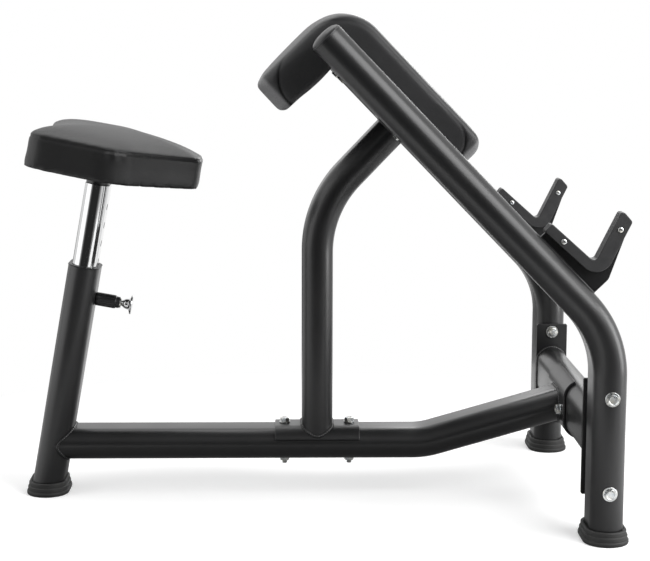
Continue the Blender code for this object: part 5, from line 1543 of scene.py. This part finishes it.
# %% [markdown]
# ## Arm and chest pad
#
# The pad is one L of foam: the arms lie on the long part and the chest leans on the short one.
# Bending a straight block would squeeze its inner side. So rings stand square to the L, close
# together at the ends and in the bend, and each is drawn in, crowned and rounded by its place.

# %% Measure out the pad
PAD_HALF = 0.280
PAD_ARM_END = 0.381
PAD_FACE = 0.0768
PAD_CHEST_T = SLANT_LENGTH + 0.0388
PAD_CHEST_END = PAD_FACE - 0.2248
PAD_BEND = 0.008
PAD_SLIM = 0.002
PAD_CELL = 0.0055
PAD_SWELL = 0.0022
PAD_CHEST_THICK = 0.073
PAD_PLAN_ROUND = 0.040
PAD_ARM_ROUND = 0.028
PAD_CHEST_ROUND = 0.012
PAD_BACK_ROUND = 0.014
PAD_BACK_SWELL = 0.0035
PAD_BEND_FULL = 0.0035
PAD_ARM_EDGE = 0.010
PAD_CHEST_EDGE = 0.018
PAD_CROWN = 0.004
PAD_CROWN_RUN = 0.12
PAD_DRAW = 0.004
PAD_CENTRE = Vector((PAD_CHEST_T - (PAD_FACE - PAD_UNDER) - PAD_BEND, PAD_UNDER - PAD_BEND))
# Places of the rings near an end, before they stand evenly
PAD_EASE = [0.0008, 0.003, 0.007, 0.012, 0.018, 0.026, 0.034]
PAD_EVEN_FROM = 0.045
# The back edge as (in from the side, out from the back)
PAD_BACK_EDGE = ((0.004, 0.0), (0.001, 0.003), (0.0, 0.008))


def rounding(distance, radius):
    """How far a round corner stands back, at a distance from the end it rounds off."""
    if distance >= radius:
        return 0.0
    return radius - math.sqrt(max(radius**2 - (radius - distance) ** 2, 0.0))


def pad_stations():
    """Inner point, way out and place along the pad, from the arm end round to the chest end."""
    arm = PAD_CENTRE.x - PAD_ARM_END
    chest = PAD_CENTRE.y - PAD_CHEST_END
    bend = PAD_BEND * math.pi / 2
    rows = []
    for place in PAD_EASE + list(np.linspace(PAD_EVEN_FROM, arm, 24)):
        rows.append((Vector((PAD_ARM_END + place, PAD_UNDER)), Vector((0, 1)), place))
    for i in range(1, 16):
        angle = math.pi / 2 * (1 - i / 16)
        out = Vector((math.cos(angle), math.sin(angle)))
        rows.append((PAD_CENTRE + out * PAD_BEND, out, arm + bend * i / 16))
    length = arm + bend + chest
    for place in list(np.linspace(chest, PAD_EVEN_FROM, 12)) + PAD_EASE[::-1]:
        spot = Vector((PAD_CENTRE.x + PAD_BEND, PAD_CHEST_END + place))
        rows.append((spot, Vector((1, 0)), length - place))
    return rows, length


def pad_ring(inner, out, place, length):
    """One cross section of the pad: drawn in at the ends, crowned on its face, rounded at its edges."""
    end = min(place, length - place)
    share = place / length
    half = PAD_HALF - PAD_SLIM - rounding(end, PAD_PLAN_ROUND) - PAD_DRAW * math.sin(math.pi * share)
    thick = PAD_FACE - PAD_UNDER
    end_round = PAD_ARM_ROUND if place < length / 2 else PAD_CHEST_ROUND
    deep = thick + (PAD_CHEST_THICK - thick) * out.x**2 - PAD_SLIM - rounding(end, end_round)
    deep += PAD_BEND_FULL * (2 * out.x * out.y) ** 2
    chest = PAD_CENTRE.y - PAD_CHEST_END
    down = min(1.0, max(0.0, (place - length + chest) / (chest - PAD_PLAN_ROUND)))
    back = rounding(end, PAD_BACK_ROUND) - PAD_BACK_SWELL * math.sin(math.pi * down)
    crown = PAD_CROWN * math.sin(math.pi * min(1.0, end / PAD_CROWN_RUN) / 2)
    edge = PAD_ARM_EDGE + (PAD_CHEST_EDGE - PAD_ARM_EDGE) * out.x**2
    side = [(half - drawn, back + out_by) for drawn, out_by in PAD_BACK_EDGE]
    side += [(half, deep * 0.5), (half, deep - edge)]
    for a in (0.4, 0.8, 1.2, 1.57):
        side.append((half - edge * (1 - math.cos(a)), deep - edge * (1 - math.sin(a))))
    inner_half = half - edge
    face = [(inner_half * s, deep + crown * (1 - s * s)) for s in (0.92, 0.8, 0.6, 0.4, 0.2)]
    row = side + face + [(0.0, deep + crown)] + [(-y, d) for y, d in (side + face)[::-1]]
    return [tuple(on_slope(inner.x + out.x * d, inner.y + out.y * d, y)) for y, d in row]


rows, pad_length = pad_stations()
print("pad is", round(pad_length * 1000), "mm long, measured along its inner side")


# %% Stuff the pad
def slope_measures(points):
    """World points as columns of t and n."""
    back = LEG_X - points[:, 0]
    up = points[:, 2] - KNEE_Z
    t = back * math.cos(SLOPE) + up * math.sin(SLOPE)
    return np.stack([t, up * math.cos(SLOPE) - back * math.sin(SLOPE)], axis=1)


def held_to_board(point):
    """The inner side of the L, a little in from its edges."""
    t, n = slope_measures(np.array([point]))[0]
    arm = n < PAD_UNDER + HELD_HEIGHT and t < PAD_CENTRE.x + PAD_BEND
    chest = t < PAD_CENTRE.x + PAD_BEND + HELD_HEIGHT and n < PAD_UNDER
    return arm or chest


rings = [pad_ring(inner, out, place, pad_length) for inner, out, place in rows]
pad = stuffed("arm_and_chest_pad", skin("pad_blank", rings), PAD_CELL, held_to_board, PAD_SWELL)
print("pad has", len(pad.data.polygons), "faces")

# %% [markdown]
# ## Side seams
#
# One strip of vinyl runs over the pad's face and round both ends, and a flat panel closes each
# side. The seam between them shows on the side, one to two fingers inside the outline. It is
# pressed in after the stuffing, because a remesh would lose it.

# %% Sew the pad's side seams
SEAM_FACE_IN = 0.010
SEAM_END_IN = 0.024
SEAM_ARM = PAD_ARM_END + SEAM_END_IN * 0.8
SEAM_CHEST = PAD_CHEST_END + SEAM_END_IN
SEAM_ROUNDS = (0.046, PAD_FACE + 0.006, 0.060)
SEAM_DEPTH = 0.0008
SEAM_WIDTH = 0.0022
SIDE_IN = 0.022
SIDE_FADE = 0.008
WRAP_FADE = 0.006
SEAM_SHADE_FADE = 0.045


def seam_path(steps=10):
    """The seam on the pad's side, as t and n."""
    outer = PAD_CHEST_T - SEAM_FACE_IN
    face = PAD_FACE - SEAM_FACE_IN
    corners = [
        (SEAM_ARM, PAD_UNDER - 0.002),
        (SEAM_ARM, face),
        (outer, face),
        (outer, SEAM_CHEST),
        (PAD_CENTRE.x + PAD_BEND - 0.002, SEAM_CHEST),
    ]
    path = [Vector(corners[0])]
    for before, here, after, radius in zip(corners, corners[1:], corners[2:], SEAM_ROUNDS):
        here = Vector(here)
        back = (Vector(before) - here).normalized()
        ahead = (Vector(after) - here).normalized()
        centre = here + (back + ahead) * radius
        for step in range(steps + 1):
            angle = math.pi / 2 * step / steps
            path.append(centre - ahead * radius * math.cos(angle) - back * radius * math.sin(angle))
    path.append(Vector(corners[-1]))
    return path


pad_seam = seam_path()
points = read_points(pad.data)
flat_points = slope_measures(points)
near = distance_to(flat_points, [tuple(p) for p in pad_seam])
on_side = np.clip((np.abs(points[:, 1]) - (PAD_HALF - SIDE_IN)) / SIDE_FADE, 0, 1)
groove = np.exp(-((near / SEAM_WIDTH) ** 2)) * on_side
points[:, 1] -= np.sign(points[:, 1]) * groove * SEAM_DEPTH
write_points(pad.data, points)
# The strip past the seam is marked for the vinyl to paint paler, as painted light from the floor.
past_seam = np.maximum(SEAM_ARM - flat_points[:, 0], SEAM_CHEST - flat_points[:, 1])
mark(pad.data, "end_wrap", np.clip(past_seam / WRAP_FADE, 0, 1))
# The seam's painted shade is strongest near the pad's ends.
tight = np.clip(1.35 + past_seam / SEAM_SHADE_FADE, 0.35, 1)
mark(pad.data, "seam_line", groove * tight)
upholster(pad, "vinyl", "pad_cushion", "frame")
print("seam is", round(sum((b - a).length for a, b in zip(pad_seam, pad_seam[1:])) * 1000), "mm long")

# %% [markdown]
# ## Seat
#
# The saddle-shaped seat is wide behind and narrow in front, so that the legs can pass.
# Its outline is a polygon with round corners, repeated up the side band, and the top panel
# is the same outline drawn in again and again towards the crown.

# %% Shape and stuff the seat
SEAT_BOTTOM = POST_TOP + MOUNT_TOP + GAP
SEAT_BAND = 0.056
SEAT_CROWN = 0.029
SEAT_MIDDLE = 0.0135
SEAT_REAR = -0.1245
SEAT_NOSE = 0.190
SEAT_CORNERS = [(SEAT_NOSE, 0.046), (0.045, 0.210), (SEAT_REAR, 0.185)]
SEAT_PLAN = [(SEAT_NOSE, -0.046)] + SEAT_CORNERS + [(SEAT_REAR, -0.185), (0.045, -0.210)]
SEAT_ROUNDS = [0.034, 0.034, 0.070, 0.036, 0.036, 0.070]
SEAT_DRAWS = [0, 0.004, 0.001, 0.012, 0.001, 0.004]
SEAT_SLIM = 0.0015
SEAT_LEAST_ROUND = 0.012
SEAT_CELL = 0.0045
SEAT_SWELL = 0.0015
# The side band as (drawn in, up) from its lower edge to the seam
SEAT_SIDE = [(0.0, 0.0), (0.0, 0.003), (0.0004, 0.014), (0.0010, 0.028), (0.0006, 0.042), (0.0, 0.054)]
SEAT_DOME = (0.995, 0.985, 0.965, 0.94, 0.90, 0.84, 0.76, 0.66, 0.54, 0.40, 0.24, 0.08)


def seat_plan(drawn):
    """The seat's outline from above, as s and y."""
    corners = inset(SEAT_PLAN, drawn)
    radii = [max(radius - drawn, SEAT_LEAST_ROUND) for radius in SEAT_ROUNDS]
    return filleted(corners, radii, 12, SEAT_DRAWS, 14)


def seat_dome(share):
    """The top panel at a share of its width: steep at the seam behind, gentler towards the nose."""
    ring = []
    for s, y in seat_plan(SEAT_SLIM):
        along = (s - SEAT_REAR) / (SEAT_NOSE - SEAT_REAR)
        rise = SEAT_BAND + SEAT_CROWN * (1 - share**2) ** (0.5 + 0.45 * along**2)
        nearer = SEAT_MIDDLE + (s - SEAT_MIDDLE) * share
        ring.append(tuple(on_sleeve(nearer, SEAT_BOTTOM + rise, y * share)))
    return ring


def seat_measures(points):
    """World points as columns of s, y and a."""
    x = points[:, 0] - SLEEVE_X
    s = x * math.cos(SLEEVE_LEAN) - points[:, 2] * math.sin(SLEEVE_LEAN)
    a = x * math.sin(SLEEVE_LEAN) + points[:, 2] * math.cos(SLEEVE_LEAN)
    return np.stack([s, points[:, 1], a], axis=1)


def held_to_seat_board(point):
    """The underside of the seat."""
    return seat_measures(np.array([point]))[0][2] < SEAT_BOTTOM + HELD_HEIGHT


rings = []
for drawn, up in SEAT_SIDE:
    rings.append([tuple(on_sleeve(s, SEAT_BOTTOM + up, y)) for s, y in seat_plan(SEAT_SLIM + drawn)])
rings += [seat_dome(share) for share in SEAT_DOME]
seat = stuffed("seat_pad", skin("seat_blank", rings), SEAT_CELL, held_to_seat_board, SEAT_SWELL)
print("seat has", len(seat.data.polygons), "faces")

# %% [markdown]
# ## Edge of the seat
#
# The top panel is sewn to the side band right at the edge, which stays crisp, and the band
# gathers in small puckers where it turns the corner at the widest point.
# These are waves moved into the finished points: cloth folds from the solver would be too coarse.

# %% Sew the seat's top edge
SEAM_LINE = SEAT_BAND - 0.0015
SEAT_SEAM_DEPTH = 0.0020
SEAT_EDGE_IN = 0.001
SEAT_EDGE_REACH = 0.012
KINK = (0.038, 0.195)
GATHER_REACH = 0.035
GATHER_RISE = 0.047
GATHER_HALF = 0.007
PUCKERS = 60
PUCKER_DEPTH = 0.0010
SEAT_FOLD = 0.0040
SEAT_LIP = 0.0035
SEAT_LIP_IN = 0.012
SEAT_FLARE = 0.0036

points = read_points(seat.data)
local = seat_measures(points)
rise_of = local[:, 2] - SEAT_BOTTOM
edge_line = seat_plan(SEAT_EDGE_IN)
to_edge = distance_to(local[:, :2], edge_line + edge_line[:1])
beside = np.exp(-((to_edge / SEAT_EDGE_REACH) ** 2))
seam = np.exp(-(((rise_of - SEAM_LINE) / SEAM_WIDTH) ** 2))
off_kink = np.hypot(local[:, 0] - KINK[0], np.abs(local[:, 1]) - KINK[1])
gather = np.exp(-((off_kink / GATHER_REACH) ** 2))
gather *= np.exp(-(((rise_of - GATHER_RISE) / GATHER_HALF) ** 2))
around = np.arctan2(local[:, 1], local[:, 0] - SEAT_MIDDLE)
puckers = np.sin(around * PUCKERS) * gather * PUCKER_DEPTH
inwards = np.stack([SEAT_MIDDLE - local[:, 0], -local[:, 1]], axis=1)
inwards /= np.maximum(np.linalg.norm(inwards, axis=1, keepdims=True), 1e-9)
local[:, :2] += inwards * ((seam * SEAT_SEAM_DEPTH - puckers) * beside)[:, None]

# The cover is pulled round the board's edge: flat below, hanging lowest halfway along, wider behind.
along = (local[:, 0] - (SEAT_NOSE + SEAT_REAR) / 2) / ((SEAT_NOSE - SEAT_REAR) / 2)
low = np.clip(1 - rise_of / SEAT_BAND, 0, 1)
local[:, 2] = np.where(rise_of < SEAT_FOLD, SEAT_BOTTOM, local[:, 2])
local[:, 2] -= SEAT_LIP * np.clip(1 - along**4, 0, 1) * low * np.clip(1 - to_edge / SEAT_LIP_IN, 0, 1)
local[:, 0] -= SEAT_FLARE * np.clip(-along, 0, 1) ** 2 * (0.3 + 0.7 * low)
write_points(seat.data, np.array([on_sleeve(s, a, y) for s, y, a in local]))
upholster(seat, "seat_vinyl_painted_shade", "seat_cushion", "seat")
print("puckers at", int((np.abs(puckers) > 0.0004).sum()), "points")

# %% [markdown]
# ## Pieces that keep their CAD shape
#
# The rails, the boards, the guide inside the sleeve and the plunger already have the right shape
# and hardly show. They keep their own meshes and only take a finish.

# %% Finish the kept pieces
KEPT = {
    "powder_coat": ["upper_pad_rail", "lower_pad_rail"],
    "plywood": ["arm_board", "chest_board", "seat_board"],
    "moulded_black": ["post_guide"],
    "zinc": ["plunger"],
}
for finish, names in KEPT.items():
    for name in names:
        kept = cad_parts[name]
        for place in kept.material_slots:
            place.material = FINISHES[finish]
print("kept pieces", sum(len(names) for names in KEPT.values()))

# %% [markdown]
# ## Spring and board bolts
#
# The spring is copied into a piece of its own, and the end of its coil farthest out along the pin is found.
# The boards are held by bolts under the rails, and their places along the slope are read from the frame.

# %% Coil the spring and bolt the boards
PAD_BOLT_Y = 0.180

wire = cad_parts["pin_spring"]
coil_mesh = wire.data.copy()
coil_mesh.transform(wire.matrix_world)
coil_mesh.materials.clear()
coil = show("coil", coil_mesh, "zinc", nodes=["pin_spring"])
turns_at = read_points(coil.data)
depth = turns_at @ np.array(OUT_SLEEVE)
far_end = tuple(map(float, turns_at[depth.argmax()]))
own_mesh(coil)

for side, sign in SIDES:
    for level in ("upper", "lower"):
        name = f"{side}_{level}_pad_bolt"
        low_corner, high_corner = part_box(name)
        centre = (Vector(low_corner) + Vector(high_corner)) / 2
        t, n = slope_measures(np.array([centre]))[0]
        spot = on_slope(t, RAIL_UNDER - GAP, sign * PAD_BOLT_Y)
        fasten(f"{name}_head", bolt_rings(*PAD_BOLT, 0.004), spot, -OFF_SLOPE, name)
print("board bolts are", round(PAD_BOLT_Y * 2000), "mm apart across the bench")
